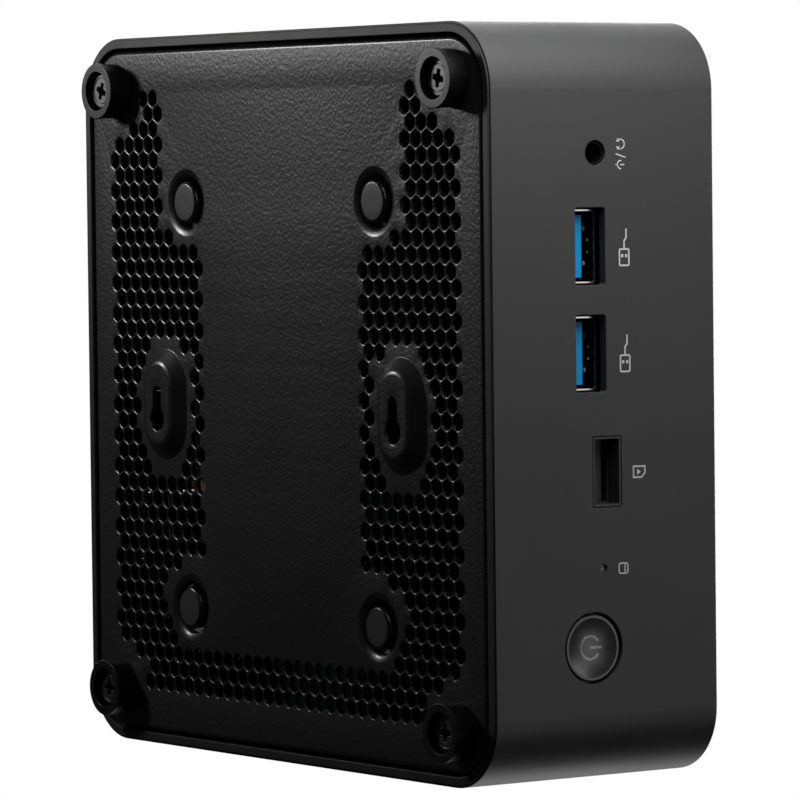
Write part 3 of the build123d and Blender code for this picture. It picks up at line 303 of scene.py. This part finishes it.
def rounded_outline(half_w, half_d, r, steps=14):
    """Counter-clockwise outline of a rounded rectangle."""
    pts = []
    for cx, cy, a0 in ((1, 1, 0), (-1, 1, 90), (-1, -1, 180), (1, -1, 270)):
        for i in range(steps + 1):
            a = math.radians(a0 + 90.0 * i / steps)
            pts.append((cx * (half_w - r) + r * math.cos(a), cy * (half_d - r) + r * math.sin(a)))
    return pts


def ring(cx, cy, r, n):
    """Counter-clockwise circle of n points."""
    angles = [2 * math.pi * i / n for i in range(n)]
    return [(cx + r * math.cos(a), cy + r * math.sin(a)) for a in angles]


def arc(cx, cz, r, a0, a1, n=16):
    """Arc from angle a0 to a1, in degrees."""
    angles = [math.radians(a0 + (a1 - a0) * i / n) for i in range(n + 1)]
    return [(cx + r * math.cos(a), cz + r * math.sin(a)) for a in angles]


def box_path(x0, x1, z0, z1, r=0.0):
    """Rectangle, with rounded corners if r is given."""
    if r <= 0:
        return [(x0, z0), (x1, z0), (x1, z1), (x0, z1)]
    corners = ((x1 - r, z1 - r, 0), (x0 + r, z1 - r, 90), (x0 + r, z0 + r, 180), (x1 - r, z0 + r, 270))
    out = []
    for cx, cz, a in corners:
        out += arc(cx, cz, r, a, a + 90, 5)
    return out


def stroke(path, width, closed=False):
    """Flat ribbon along a 2D path, as points and quads, with mitred joints and square ends."""
    n = len(path)
    left = []
    right = []
    for i in range(n):
        p = Vector(path[i])
        before = Vector(path[i - 1]) if (i > 0 or closed) else None
        after = Vector(path[(i + 1) % n]) if (i < n - 1 or closed) else None
        if before is None:
            d = (after - p).normalized()
            p = p - d * width / 2
            offset = Vector((-d.y, d.x)) * width / 2
        elif after is None:
            d = (p - before).normalized()
            p = p + d * width / 2
            offset = Vector((-d.y, d.x)) * width / 2
        else:
            d0 = (p - before).normalized()
            d1 = (after - p).normalized()
            n0 = Vector((-d0.y, d0.x))
            n1 = Vector((-d1.y, d1.x))
            mid = n0 + n1
            mid = mid.normalized() if mid.length > 1e-6 else n0
            offset = mid * (width / 2) / max(SHARPEST_MITRE, mid.dot(n0))
        left.append(tuple(p + offset))
        right.append(tuple(p - offset))
    quads = [(i, n + i, n + (i + 1) % n, (i + 1) % n) for i in range(n if closed else n - 1)]
    return left + right, quads


def front_plane(x, z):
    """Depth of the front panel, the same everywhere."""
    return FRONT


def print_mark(name, strokes, fills=(), width=0.3, look="print", body="chassis",
               surface=front_plane):
    """Thin raised ink on a surface that faces forwards. Points are (x, z)."""
    verts = []
    faces = []

    def add(pts, polys):
        base = len(verts)
        n = len(pts)
        verts.extend((x, surface(x, z) - MARK_LIFT, z) for x, z in pts)
        verts.extend((x, surface(x, z) + MARK_SUNK, z) for x, z in pts)
        edges = {}
        for poly in polys:
            faces.append(tuple(base + i for i in poly))
            faces.append(tuple(base + n + i for i in reversed(poly)))
            for k, i in enumerate(poly):
                edges[(i, poly[(k + 1) % len(poly)])] = True
        for i, j in edges:
            if (j, i) not in edges:
                faces.append((base + j, base + i, base + n + i, base + n + j))

    for path, closed in strokes:
        add(*stroke(path, width, closed))
    for path in fills:
        add(path, [tuple(range(len(path)))])
    return mesh(name, verts, faces, look, body)


# ---------------------------------------------------------------------------
# Bottom cover: a vented pressing with keyhole hangers, round wells and a bent flange
# ---------------------------------------------------------------------------

COVER_Z = 4.4
SHEET = 1.0
COVER_HX = 65.3
COVER_HY = 64.3
COVER_R = 9.7
BEND = 0.9
FLANGE_TOP = 9.6
EDGE_EASE = 0.15
ROUND = 64

FEET = [(sx * 57.7, sy * 55.8) for sx in (-1, 1) for sy in (-1, 1)]
SCREW_HOLE_R = 1.55
SCREW_LIP = 0.1
SCREW_HOLE_POINTS = 20

PITCH = 3.407
ROW = PITCH * math.sqrt(3) / 2
LAST_ROW = 19
LAST_COLUMN = 33
# (first row of the zone, its first column out from the middle line)
VENT_ZONES = ((-19, 24), (-10, 16), (17, 0))
HOLE_FLAT = 1.40
HOLE_CORNER = 0.75
CORNER_GROWTH = 0.6
LIP = 0.30
FOOT_CLEAR = 9.6
WELL_CLEAR = 8.72
HANGER_CLEAR = 9.9
# (share of the lip's width already passed, depth in lip widths): a soft cone, then a round shoulder
LIP_STEPS = [(0.14, 0.03), (0.33, 0.09), (0.52, 0.165), (0.69, 0.25), (0.83, 0.35), (0.93, 0.48),
             (1.0, 0.75)]

WELLS = [(x, s * 31.1) for x in (-36.1, 40.9) for s in (-1, 1)]
WELL_R = 6.5
WELL_DEPTH = 1.6
GROOVE_R = 4.66
GROOVE_TAPER = 0.02
GROOVE_START = 1.5
GROOVE_DEPTH = 2.7
PLUG_SEAT_R = 3.95
# (distance from the well's middle, tilt in degrees of the side that comes down to it)
WELL_SIDE = [(6.42, 3), (6.32, 8), (6.2, 13), (6.0, 17), (5.8, 19.5), (5.6, 22), (5.4, 25), (5.2, 30),
             (5.05, 38), (4.92, 50), (4.82, 64), (4.74, 76)]

# keyhole hangers: a raised stadium round a spine along X, with a keyhole in its flat top
HANGER_Y = 39.1
SPINE_X0 = -0.9
SPINE_X1 = 5.6
HANGER_H = 2.1
HANGER_FLAT = 3.95
HANGER_FOOT_R = 0.25
HANGER_CROWN_R = 2.0
HANGER_SLOPE = math.radians(38)
KEY_X = 5.1
KEY_R = 2.3
KEY_SLOT_X = 0.2
KEY_SLOT_R = 1.3
KEY_LIP = 0.22


def hanger_distance(x, y):
    """Distance from the spine of the nearer hanger."""
    along = min(max(x, SPINE_X0), SPINE_X1)
    return math.hypot(x - along, abs(y) - HANGER_Y)


def vents():
    """Middles of the hexagonal holes: a field along the front and one along the rear, both narrower
    on the left, and a band along the right side that joins them."""
    found = []
    for row in range(-LAST_ROW, LAST_ROW + 1):
        first_column = [column for start, column in VENT_ZONES if row >= start][-1]
        for column in range(-LAST_COLUMN, LAST_COLUMN + 1):
            if (row + column) % 2 or abs(column) < first_column:
                continue
            x = row * ROW
            y = column * PITCH / 2
            near_foot = min(math.hypot(x - a, y - b) for a, b in FEET) < FOOT_CLEAR
            near_well = min(math.hypot(x - a, y - b) for a, b in WELLS) < WELL_CLEAR
            if not (near_foot or near_well or hanger_distance(x, y) < HANGER_CLEAR):
                found.append((x, y))
    return found


def soft_hex(cx, cy, grow, steps=4):
    """Hexagon with rounded corners, widest along X."""
    r = HOLE_CORNER + grow * CORNER_GROWTH
    reach = (HOLE_FLAT + grow - r) / math.cos(math.pi / 6)
    pts = []
    for k in range(6):
        mid = k * math.pi / 3
        for i in range(steps):
            a = mid + math.pi / 3 * (i / (steps - 1) - 0.5)
            pts.append((cx + reach * math.cos(mid) + r * math.cos(a),
                        cy + reach * math.sin(mid) + r * math.sin(a)))
    return pts


def stadium(d, s, steps=28, side=8):
    """Counter-clockwise outline at distance d round the spine of hanger s (-1 front, 1 rear)."""
    y = s * HANGER_Y
    pts = []
    for i in range(steps + 1):
        a = math.pi * (i / steps - 0.5)
        pts.append((SPINE_X1 + d * math.cos(a), y + d * math.sin(a)))
    for i in range(1, side):
        pts.append((SPINE_X1 + (SPINE_X0 - SPINE_X1) * i / side, y + d))
    for i in range(steps + 1):
        a = math.pi * (i / steps + 0.5)
        pts.append((SPINE_X0 + d * math.cos(a), y + d * math.sin(a)))
    for i in range(1, side):
        pts.append((SPINE_X0 + (SPINE_X1 - SPINE_X0) * i / side, y - d))
    return pts


def keyhole(grow, s, big_steps=32, slot_steps=16):
    """Counter-clockwise keyhole of hanger s: the wide end at KEY_X, the slot's end at KEY_SLOT_X."""
    big = KEY_R + grow
    slim = KEY_SLOT_R + grow
    a0 = math.asin(slim / big)
    y = s * HANGER_Y
    pts = []
    for i in range(big_steps + 1):
        a = -math.pi + a0 + (2 * math.pi - 2 * a0) * i / big_steps
        pts.append((KEY_X + big * math.cos(a), y + big * math.sin(a)))
    for i in range(slot_steps + 1):
        a = math.pi / 2 + math.pi * i / slot_steps
        pts.append((KEY_SLOT_X + slim * math.cos(a), y + slim * math.sin(a)))
    return pts


def cut_shapes():
    """Each hole as (outline for a given growth, how far it stands out from the plate, lip width)."""
    shapes = [(lambda g, x=x, y=y: soft_hex(x, y, g), 0.0, LIP) for x, y in vents()]
    shapes += [(lambda g, x=x, y=y: ring(x, y, SCREW_HOLE_R + g, SCREW_HOLE_POINTS), 0.0, SCREW_LIP)
               for x, y in FEET]
    shapes += [(lambda g, s=s: keyhole(g, s), HANGER_H, KEY_LIP) for s in (-1, 1)]
    return shapes


def hanger_profile():
    """(distance, drop) from the plate up the side of a hanger to its flat top."""
    rise = HANGER_H - (HANGER_FOOT_R + HANGER_CROWN_R) * (1 - math.cos(HANGER_SLOPE))
    start = (HANGER_FLAT + (HANGER_FOOT_R + HANGER_CROWN_R) * math.sin(HANGER_SLOPE)
             + rise / math.tan(HANGER_SLOPE))
    out = []
    for i in range(5):
        a = HANGER_SLOPE * i / 4
        out.append((start - HANGER_FOOT_R * math.sin(a), HANGER_FOOT_R * (1 - math.cos(a))))
    for i in range(9):
        a = HANGER_SLOPE * (1 - i / 8)
        out.append((HANGER_FLAT + HANGER_CROWN_R * math.sin(a),
                    HANGER_H - HANGER_CROWN_R * (1 - math.cos(a))))
    return out


def well_profile():
    """(distance, depth) from the plate down into a well: a dish that steepens into a groove."""
    out = [(WELL_R, 0.0)]
    for d, tilt in WELL_SIDE:
        last, depth = out[-1]
        out.append((d, depth + (last - d) * math.tan(math.radians(tilt))))
    out += [(GROOVE_R + GROOVE_TAPER, GROOVE_START), (GROOVE_R, GROOVE_DEPTH),
            (PLUG_SEAT_R, GROOVE_DEPTH)]
    return out


def flange_profile():
    """(outward, up) from the edge of the flat plate round the bend, over the rim and down inside."""
    top = FLANGE_TOP - COVER_Z
    out = []
    for i in range(1, 9):
        a = math.pi / 2 * i / 8
        out.append((BEND * math.sin(a), BEND - BEND * math.cos(a)))
    out += [(BEND, top - EDGE_EASE), (BEND - EDGE_EASE, top), (BEND - SHEET + EDGE_EASE, top),
            (BEND - SHEET, top - EDGE_EASE), (BEND - SHEET, SHEET + 0.02)]
    return out


def triangulate(outlines):
    """Fill the first outline. Returns the points, the triangles with the numbers of the outlines
    round each, and every outline as numbers of those points."""
    points = []
    edges = []
    areas = []
    for outline in outlines:
        start = len(points)
        count = len(outline)
        points.extend(Vector(p) for p in outline)
        edges.extend((start + i, start + (i + 1) % count) for i in range(count))
        areas.append(list(range(start, start + count)))
    spots, _, triangles, origin, _, within = delaunay_2d_cdt(points, edges, areas, 0, 1e-5)
    place = {old: new for new, olds in enumerate(origin) for old in olds}
    loops = [[place[i] for i in area] for area in areas]
    return spots, list(zip(triangles, map(set, within))), loops


def flat_faces(spots, triangles, feet, tops):
    """Triangles of the plate and of the hangers' flat tops, and how far each point stands out. feet
    and tops are the numbers of the outlines round the hangers' feet and tops."""
    drop = [0.0] * len(spots)
    keep = []
    for tri, inside in triangles:
        on_top = bool(inside & tops)
        formed = inside - {0} - tops - (feet if on_top else set())
        if 0 not in inside or formed:
            continue
        if on_top:
            for i in tri:
                drop[i] = HANGER_H
        a, b, c = (spots[i] for i in tri)
        if (b - a).cross(c - a) > 0:
            tri = (tri[0], tri[2], tri[1])
        keep.append(tuple(tri))
    return keep, drop


class Sheet:
    """A bent sheet: a flat outer skin and its copy one thickness further in, then formed areas."""

    def __init__(self, spots, drop, faces):
        self.step = len(spots)
        self.verts = [(v.x, v.y, COVER_Z - d) for v, d in zip(spots, drop)]
        self.verts += [(v.x, v.y, COVER_Z - d + SHEET) for v, d in zip(spots, drop)]
        self.faces = faces + [tuple(self.step + i for i in reversed(f)) for f in faces]

    def ring(self, outline, z):
        """Add an outline at height z and return its numbers."""
        start = len(self.verts)
        self.verts.extend((x, y, z) for x, y in outline)
        return list(range(start, len(self.verts)))

    def inner(self, loop):
        """The loop on the inner skin that matches one on the flat outer skin."""
        return [self.step + i for i in loop]

    def join(self, rings, flip=False):
        """Skin the surface between successive rings."""
        for a, b in zip(rings, rings[1:]):
            if flip:
                a, b = b, a
            for k in range(len(a)):
                j = (k + 1) % len(a)
                self.faces.append((a[k], a[j], b[j], b[k]))

    def form(self, start, steps, end=None):
        """Form both skins from one flat loop through outlines at given heights, to another flat
        loop if there is one. Returns the last rings of the two skins."""
        near = [start]
        far = [self.inner(start)]
        for outline, z in steps:
            near.append(self.ring(outline, z))
            far.append(self.ring(outline, z + SHEET))
        if end:
            near.append(end)
            far.append(self.inner(end))
        self.join(near, flip=True)
        self.join(far)
        return near[-1], far[-1]


def build_cover():
    cuts = cut_shapes()
    hanger = hanger_profile()
    well = well_profile()
    edge_x, edge_y, edge_r = COVER_HX - BEND, COVER_HY - BEND, COVER_R - BEND
    outlines = [rounded_outline(edge_x, edge_y, edge_r)]
    outlines += [shape(lip) for shape, _, lip in cuts]
    foot = len(outlines)
    top = foot + 2
    outlines += [stadium(hanger[0][0], s) for s in (-1, 1)]
    outlines += [stadium(hanger[-1][0], s) for s in (-1, 1)]
    outlines += [ring(x, y, well[0][0], ROUND) for x, y in WELLS]
    spots, triangles, loops = triangulate(outlines)
    flat, drop = flat_faces(spots, triangles, {foot, foot + 1}, {top, top + 1})
    sheet = Sheet(spots, drop, flat)

    # holes: a rounded lip on the outside and a plain edge inside
    for loop, (shape, height, lip) in zip(loops[1:foot], cuts):
        z = COVER_Z - height
        rings = [loop]
        rings += [sheet.ring(shape(lip * (1 - across)), z + lip * deep) for across, deep in LIP_STEPS]
        rings.append(sheet.ring(shape(0.0), z + SHEET - 0.1))
        rings.append(sheet.inner(loop))
        sheet.join(rings, flip=True)

    # hangers: soft foot, straight side, rounded crown
    for s, low, high in zip((-1, 1), loops[foot:top], loops[top:top + 2]):
        sheet.form(low, [(stadium(d, s), COVER_Z - h) for d, h in hanger[1:-1]], high)

    # wells, each open in the middle for the plug's stem
    for (x, y), loop in zip(WELLS, loops[top + 2:]):
        near, far = sheet.form(loop, [(ring(x, y, d, ROUND), COVER_Z + h) for d, h in well[1:]])
        sheet.join([far, near])

    # flange bent up round the plate
    rings = [loops[0]]
    for out, up in flange_profile():
        rings.append(sheet.ring(rounded_outline(edge_x + out, edge_y + out, edge_r + out), COVER_Z + up))
    rings.append(sheet.inner(loops[0]))
    sheet.join(rings)

    obj = mesh("cover_pressing", sheet.verts, sheet.faces, "cover", "cover", sharp=50,
               formed="cover_formed", flat=2 * len(flat))
    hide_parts("bottom_cover")


build_cover()

# ---------------------------------------------------------------------------
# Blanking plugs in the wells
# ---------------------------------------------------------------------------

PLUG_PROUD = 0.4
PLUG_FLAT_R = 3.3
PLUG_EDGE = 0.6
STEM_R = 1.6
BARB_R = 2.1
BARB_TIP_R = 1.5
# heights above the back of the cap
STEM_TOP = 0.85
BARB_LOW = 0.9
BARB_HIGH = 1.2
BARB_TIP = 1.7


def plug_profile():
    """(radius, height) from the middle of the face round the edge and up the stem to its tip."""
    face = COVER_Z - PLUG_PROUD
    back = COVER_Z + WELL_DEPTH
    out = [(0.0, face), (STEM_R, face), (PLUG_FLAT_R, face)]
    for i in range(1, 9):
        a = math.pi / 2 * i / 8
        out.append((PLUG_FLAT_R + PLUG_EDGE * math.sin(a), face + PLUG_EDGE * (1 - math.cos(a))))
    out += [(PLUG_FLAT_R + PLUG_EDGE, back), (STEM_R, back), (STEM_R, back + STEM_TOP),
            (BARB_R, back + BARB_LOW), (BARB_R, back + BARB_HIGH), (BARB_TIP_R, back + BARB_TIP),
            (0.0, back + BARB_TIP)]
    return out


def build_plugs():
    """Push-in caps with softly rounded faces, a stem and a barb."""
    profile = plug_profile()
    rings = len(profile) - 2
    verts = []
    faces = []
    sides = []
    for x, y in WELLS:
        start = len(verts)
        verts.append((x, y, profile[0][1]))
        for r, z in profile[1:-1]:
            verts.extend((a, b, z) for a, b in ring(x, y, r, ROUND))
        verts.append((x, y, profile[-1][1]))
        last = len(verts) - 1
        for k in range(ROUND):
            j = (k + 1) % ROUND
            faces.append((start, start + 1 + j, start + 1 + k))
            for i in range(rings - 1):
                lower = start + 1 + i * ROUND
                upper = lower + ROUND
                target = faces if i < 1 else sides
                target.append((lower + k, lower + j, upper + j, upper + k))
            sides.append((last - ROUND + k, last - ROUND + j, last))
    caps = mesh("plug_caps", verts, faces + sides, "plug", "cover", formed="plug_edge",
                flat=len(faces))
    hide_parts("hole_plugs")


build_plugs()

# ---------------------------------------------------------------------------
# Dimples and painted glints inside the data sockets, and a black film of painted shade behind the rear
# sockets
# ---------------------------------------------------------------------------

SOCKET_X = (-27.8, -8.8)
SOCKET_Z = 26.04
SOCKET_WALL = SOCKET_Z + 2.56
# (across from the socket's middle, behind the shell's front, radius, height); the last two small domes are
# painted glints of the contacts
DIMPLES = ((-3.1, 3.1, 0.5, 0.14), (3.1, 3.1, 0.5, 0.14), (-1.1, 1.9, 0.26, 0.10), (1.05, 1.9, 0.26, 0.10))
DIMPLE_RINGS = (0.45, 0.8, 1.0)
DIMPLE_POINTS = 20
DIMPLE_SINK = 0.02
# a black film of painted shade behind the rear sockets
# two opposite corners
SHADE_FILM = ((-42.0, 48.8, 10.5), (-8.0, 49.1, 28.9))


def build_dimples():
    """Spring dimples, and two small domes that are painted glints of the contacts, on the upper wall
    inside the two data sockets, in a light grey that paints light onto the wall in shade.
    """
    verts = []
    faces = []
    for cx in SOCKET_X:
        for across, behind, r, height in DIMPLES:
            x = cx + across
            y = SHELL_FRONT + behind
            start = len(verts)
            verts.append((x, y, SOCKET_WALL - height))
            for part in DIMPLE_RINGS:
                z = SOCKET_WALL - height * (1 - part ** 2) + DIMPLE_SINK * part
                verts.extend((a, b, z) for a, b in ring(x, y, r * part, DIMPLE_POINTS))
            for k in range(DIMPLE_POINTS):
                j = (k + 1) % DIMPLE_POINTS
                faces.append((start, start + 1 + j, start + 1 + k))
                for i in range(len(DIMPLE_RINGS) - 1):
                    inner = start + 1 + i * DIMPLE_POINTS
                    outer = inner + DIMPLE_POINTS
                    faces.append((inner + k, inner + j, outer + j, outer + k))
    mesh("socket_dimples_and_painted_glints", verts, faces, "dimple_painted_light", "chassis", sharp=60)


def build_shade_film():
    """Black film behind the rear sockets: painted shade that hides the view through the case."""
    corners = [(SHADE_FILM[i][0], SHADE_FILM[j][1], SHADE_FILM[k][2]) for i in (0, 1) for j in (0, 1) for k in (0, 1)]
    sides = [(0, 1, 3, 2), (4, 6, 7, 5), (0, 4, 5, 1), (2, 3, 7, 6), (0, 2, 6, 4), (1, 5, 7, 3)]
    # Painted shade: a black sheet where the case shows only shade.
    mesh("port_shade_film", corners, sides, "jet", "chassis", sharp=30)


build_dimples()
build_shade_film()

# ---------------------------------------------------------------------------
# Printed marks on the front and the power sign: generic pictograms only
# ---------------------------------------------------------------------------

HEADSET = (-45.85, 33.2)
MICROPHONE = (-42.2, 33.0)
SOCKET_MARKS = (("mark_socket_left", -27.5), ("mark_socket_right", -8.65))
SOCKET_MARK_Z = 33.6
# (left, right, bottom, top)
CARD_BOX = (11.55, 13.5, 35.25, 37.8)
DRIVE_BOX = (28.66, 30.48, 31.8, 33.78)
BUTTON_X, BUTTON_Z = 43.45, 26.0
BUTTON_SET_BACK = 0.3
DISH_DEPTH = 0.9
DISH_R = 16.45


def mark_headset():
    """A band with two ear cups, a slash and a small microphone."""
    x, z = HEADSET
    mx, mz = MICROPHONE
    print_mark("mark_headset",
               [(arc(x, z - 0.2, 0.85, 0, 180), False),
                ([(x - 0.85, z - 0.2), (x - 0.85, z - 0.85)], False),
                ([(x + 0.85, z - 0.2), (x + 0.85, z - 0.85)], False),
                ([(x - 0.55, z - 0.55), (x - 0.55, z - 1.05)], False),
                ([(x + 0.55, z - 0.55), (x + 0.55, z - 1.05)], False),
                ([(mx - 1.9, mz - 1.0), (mx - 1.3, mz + 1.0)], False),
                ([(mx, mz), (mx, mz + 0.75)], False),
                (arc(mx, mz, 0.72, 180, 360), False),
                ([(mx, mz - 0.75), (mx, mz - 1.1)], False)], width=0.2)


def mark_socket(name, x):
    """A small plug with a lead."""
    z = SOCKET_MARK_Z
    print_mark(name,
               [(box_path(x + 0.3, x + 3.2, z - 1.05, z + 1.05, 0.25), True),
                ([(x + 0.1, z), (x - 1.2, z), (x - 1.7, z + 0.45), (x - 3.2, z + 0.45)], False)],
               fills=[box_path(x + 1.2, x + 1.75, z + 0.2, z + 0.7)[::-1],
                      box_path(x + 1.2, x + 1.75, z - 0.7, z - 0.2)[::-1]])


def mark_card():
    """A memory card with a cut corner and a small arrowhead."""
    x0, x1, z0, z1 = CARD_BOX
    mid = (x0 + x1) / 2
    print_mark("mark_card",
               [([(x0, z0), (x1, z0), (x1, z1 - 0.75), (x1 - 0.75, z1), (x0, z1)], True)],
               fills=[[(mid - 0.55, z0 + 0.8), (mid, z0 + 1.65), (mid + 0.55, z0 + 0.8)]])


def mark_drive():
    """A drive: rounded square with a bar."""
    x0, x1, z0, z1 = DRIVE_BOX
    print_mark("mark_drive",
               [(box_path(x0, x1, z0, z1, 0.45), True),
                ([(x0 + 0.15, z0 + 1.35), (x1 - 0.15, z0 + 1.35)], False)], width=0.26)


def button_dish(x, z):
    """Depth of the power button's dished face."""
    r2 = (x - BUTTON_X) ** 2 + (z - BUTTON_Z) ** 2
    return FRONT + BUTTON_SET_BACK + DISH_DEPTH - DISH_R + math.sqrt(max(0.0, DISH_R ** 2 - r2))


def power_sign():
    """A ring, open at the top, with an upright bar."""
    opening = 38
    circle = arc(BUTTON_X, BUTTON_Z, 2.05, 90 + opening, 90 + 360 - opening, 40)
    bar = [(BUTTON_X, BUTTON_Z + 0.2 + 0.35 * i) for i in range(7)]
    print_mark("power_sign", [(circle, False), (bar, False)], width=0.46, look="symbol",
               body="button", surface=button_dish)


mark_headset()
for name, x in SOCKET_MARKS:
    mark_socket(name, x)
mark_card()
mark_drive()
power_sign()

# ---------------------------------------------------------------------------
# Light, floor, room and camera
# ---------------------------------------------------------------------------

# (name, place, point that it faces, width, height, power)
LIGHTS = (
    ("light_key", (-0.108, 0.194, -0.143), (0.0, 0.0, 0.0), 0.04, 0.04, 0.185),
    ("light_corner", (-0.12, -0.12, 0.03), (0.0, -0.03, 0.02), 0.12, 0.12, 0.188),
    ("light_front", (0.10, -0.80, 0.55), (0.0, -0.03, 0.02), 0.50, 0.50, 0.84),
    ("light_dish", (-0.25, -0.50, 0.85), (0.03, -0.06, 0.02), 0.40, 0.40, 0.8),
    ("light_top", (0.10, 0.48, 1.15), (0.0, 0.0, 0.03), 0.90, 0.90, 16.0),
    ("light_right", (0.95, 0.40, 0.50), (0.0, 0.0, 0.03), 0.50, 0.60, 2.5),
    ("light_back", (-0.30, 1.00, 0.55), (0.0, 0.0, 0.03), 0.70, 0.60, 8.0),
    ("light_left", (-0.95, 0.40, 0.45), (0.0, 0.0, 0.03), 0.50, 0.60, 3.0),
)
FLOOR_HALF = 2.5
FLOOR_CLEAR_FROM = 0.25
FLOOR_CLEAR_TO = 1.1
ROOM_DARK = 0.012
ROOM_BRIGHT = 0.35
WHITE = (1, 1, 1, 1)
SENSOR = 36
LENS = 234.47025
CAMERA_PLACE = (-0.039363, -0.800521, -0.532581)
YAW = math.radians(35.17588)
PITCH_DOWN = math.radians(2.38396)
ROLL = math.radians(-0.65298)


def softbox(name, place, aim, width, height, power):
    light = bpy.data.lights.new(name, "AREA")
    light.shape = "RECTANGLE"
    light.size = width
    light.size_y = height
    light.energy = power
    obj = bpy.data.objects.new(name, light)
    obj.location = Vector(place)
    obj.rotation_euler = (Vector(aim) - Vector(place)).to_track_quat("-Z", "Y").to_euler()
    bpy.context.scene.collection.objects.link(obj)
    obj.visible_camera = False


def floor_material():
    """Light grey that fades out away from the part, and is clear from below."""
    mat = bpy.data.materials.new("floor")
    mat.use_nodes = True
    tree = mat.node_tree
    link = tree.links.new
    grey = tree.nodes["Principled BSDF"]
    grey.inputs["Roughness"].default_value = 0.9
    grey.inputs["Base Color"].default_value = (0.80, 0.80, 0.80, 1)
    distance = add_node(tree, "VectorMath")
    distance.operation = "LENGTH"
    link(add_node(tree, "TexCoord").outputs["Object"], distance.inputs[0])
    fade = add_node(tree, "MapRange", From_Min=FLOOR_CLEAR_FROM, From_Max=FLOOR_CLEAR_TO)
    link(distance.outputs["Value"], fade.inputs["Value"])
    hide = add_node(tree, "Math")
    hide.operation = "MAXIMUM"
    link(fade.outputs["Result"], hide.inputs[0])
    link(add_node(tree, "NewGeometry").outputs["Backfacing"], hide.inputs[1])
    mix = add_node(tree, "MixShader")
    link(hide.outputs["Value"], mix.inputs["Fac"])
    link(grey.outputs["BSDF"], mix.inputs[1])
    link(add_node(tree, "BsdfTransparent").outputs["BSDF"], mix.inputs[2])
    link(mix.outputs["Shader"], tree.nodes["Material Output"].inputs["Surface"])
    return mat


def build_floor():
    h = FLOOR_HALF
    data = bpy.data.meshes.new("floor")
    data.from_pydata([(-h, -h, 0), (h, -h, 0), (h, h, 0), (-h, h, 0)], [], [(0, 1, 2, 3)])
    floor = bpy.data.objects.new("floor", data)
    bpy.context.scene.collection.objects.link(floor)
    data.materials.append(floor_material())
    floor.visible_shadow = False
    floor.visible_diffuse = False
    floor.visible_glossy = False


def build_room():
    """A room that is bright above and behind the part and dark below and in front of it. The camera
    sees plain white instead."""
    world = bpy.data.worlds.new("studio")
    bpy.context.scene.world = world
    world.use_nodes = True
    tree = world.node_tree
    link = tree.links.new
    room = tree.nodes["Background"]
    room.inputs["Color"].default_value = WHITE
    split = add_node(tree, "SeparateXYZ")
    link(add_node(tree, "TexCoord").outputs["Generated"], split.inputs["Vector"])
    low = add_node(tree, "Math")
    low.operation = "MINIMUM"
    link(split.outputs["Y"], low.inputs[0])
    link(split.outputs["Z"], low.inputs[1])
    ramp = add_node(tree, "MapRange", From_Min=-0.05, From_Max=0.5, To_Min=ROOM_DARK,
                    To_Max=ROOM_BRIGHT)
    ramp.interpolation_type = "SMOOTHSTEP"
    link(low.outputs["Value"], ramp.inputs["Value"])
    link(ramp.outputs["Result"], room.inputs["Strength"])
    mix = add_node(tree, "MixShader")
    link(add_node(tree, "LightPath").outputs["Is Camera Ray"], mix.inputs["Fac"])
    link(room.outputs["Background"], mix.inputs[1])
    link(add_node(tree, "Background", Color=WHITE).outputs["Background"], mix.inputs[2])
    link(mix.outputs["Shader"], tree.nodes["World Output"].inputs["Surface"])


def place_camera():
    """Look up at the underside and the front, with the part's left side towards the top."""
    up = Vector((-1, 0, 0))
    ahead = Vector((0, math.cos(YAW), math.sin(YAW)))
    ahead = ahead * math.cos(PITCH_DOWN) - up * math.sin(PITCH_DOWN)
    right = ahead.cross(up).normalized()
    top = right.cross(ahead)
    right, top = (right * math.cos(ROLL) + top * math.sin(ROLL),
                  top * math.cos(ROLL) - right * math.sin(ROLL))
    data = bpy.data.cameras.new("camera")
    data.sensor_width = SENSOR
    data.lens = LENS
    data.clip_start = 0.01
    data.clip_end = 20
    camera = bpy.data.objects.new("camera", data)
    bpy.context.scene.collection.objects.link(camera)
    turn = Matrix((right, top, -ahead)).transposed().to_4x4()
    camera.matrix_world = Matrix.Translation(CAMERA_PLACE) @ turn
    bpy.context.scene.camera = camera


for light in LIGHTS:
    softbox(*light)
build_floor()
build_room()
place_camera()

scene = bpy.context.scene
scene.view_settings.view_transform = "Standard"
scene.view_settings.look = "None"
scene.view_settings.exposure = 0.0
scene.view_settings.gamma = 1.0
scene.cycles.max_bounces = 8
scene.cycles.transparent_max_bounces = 8
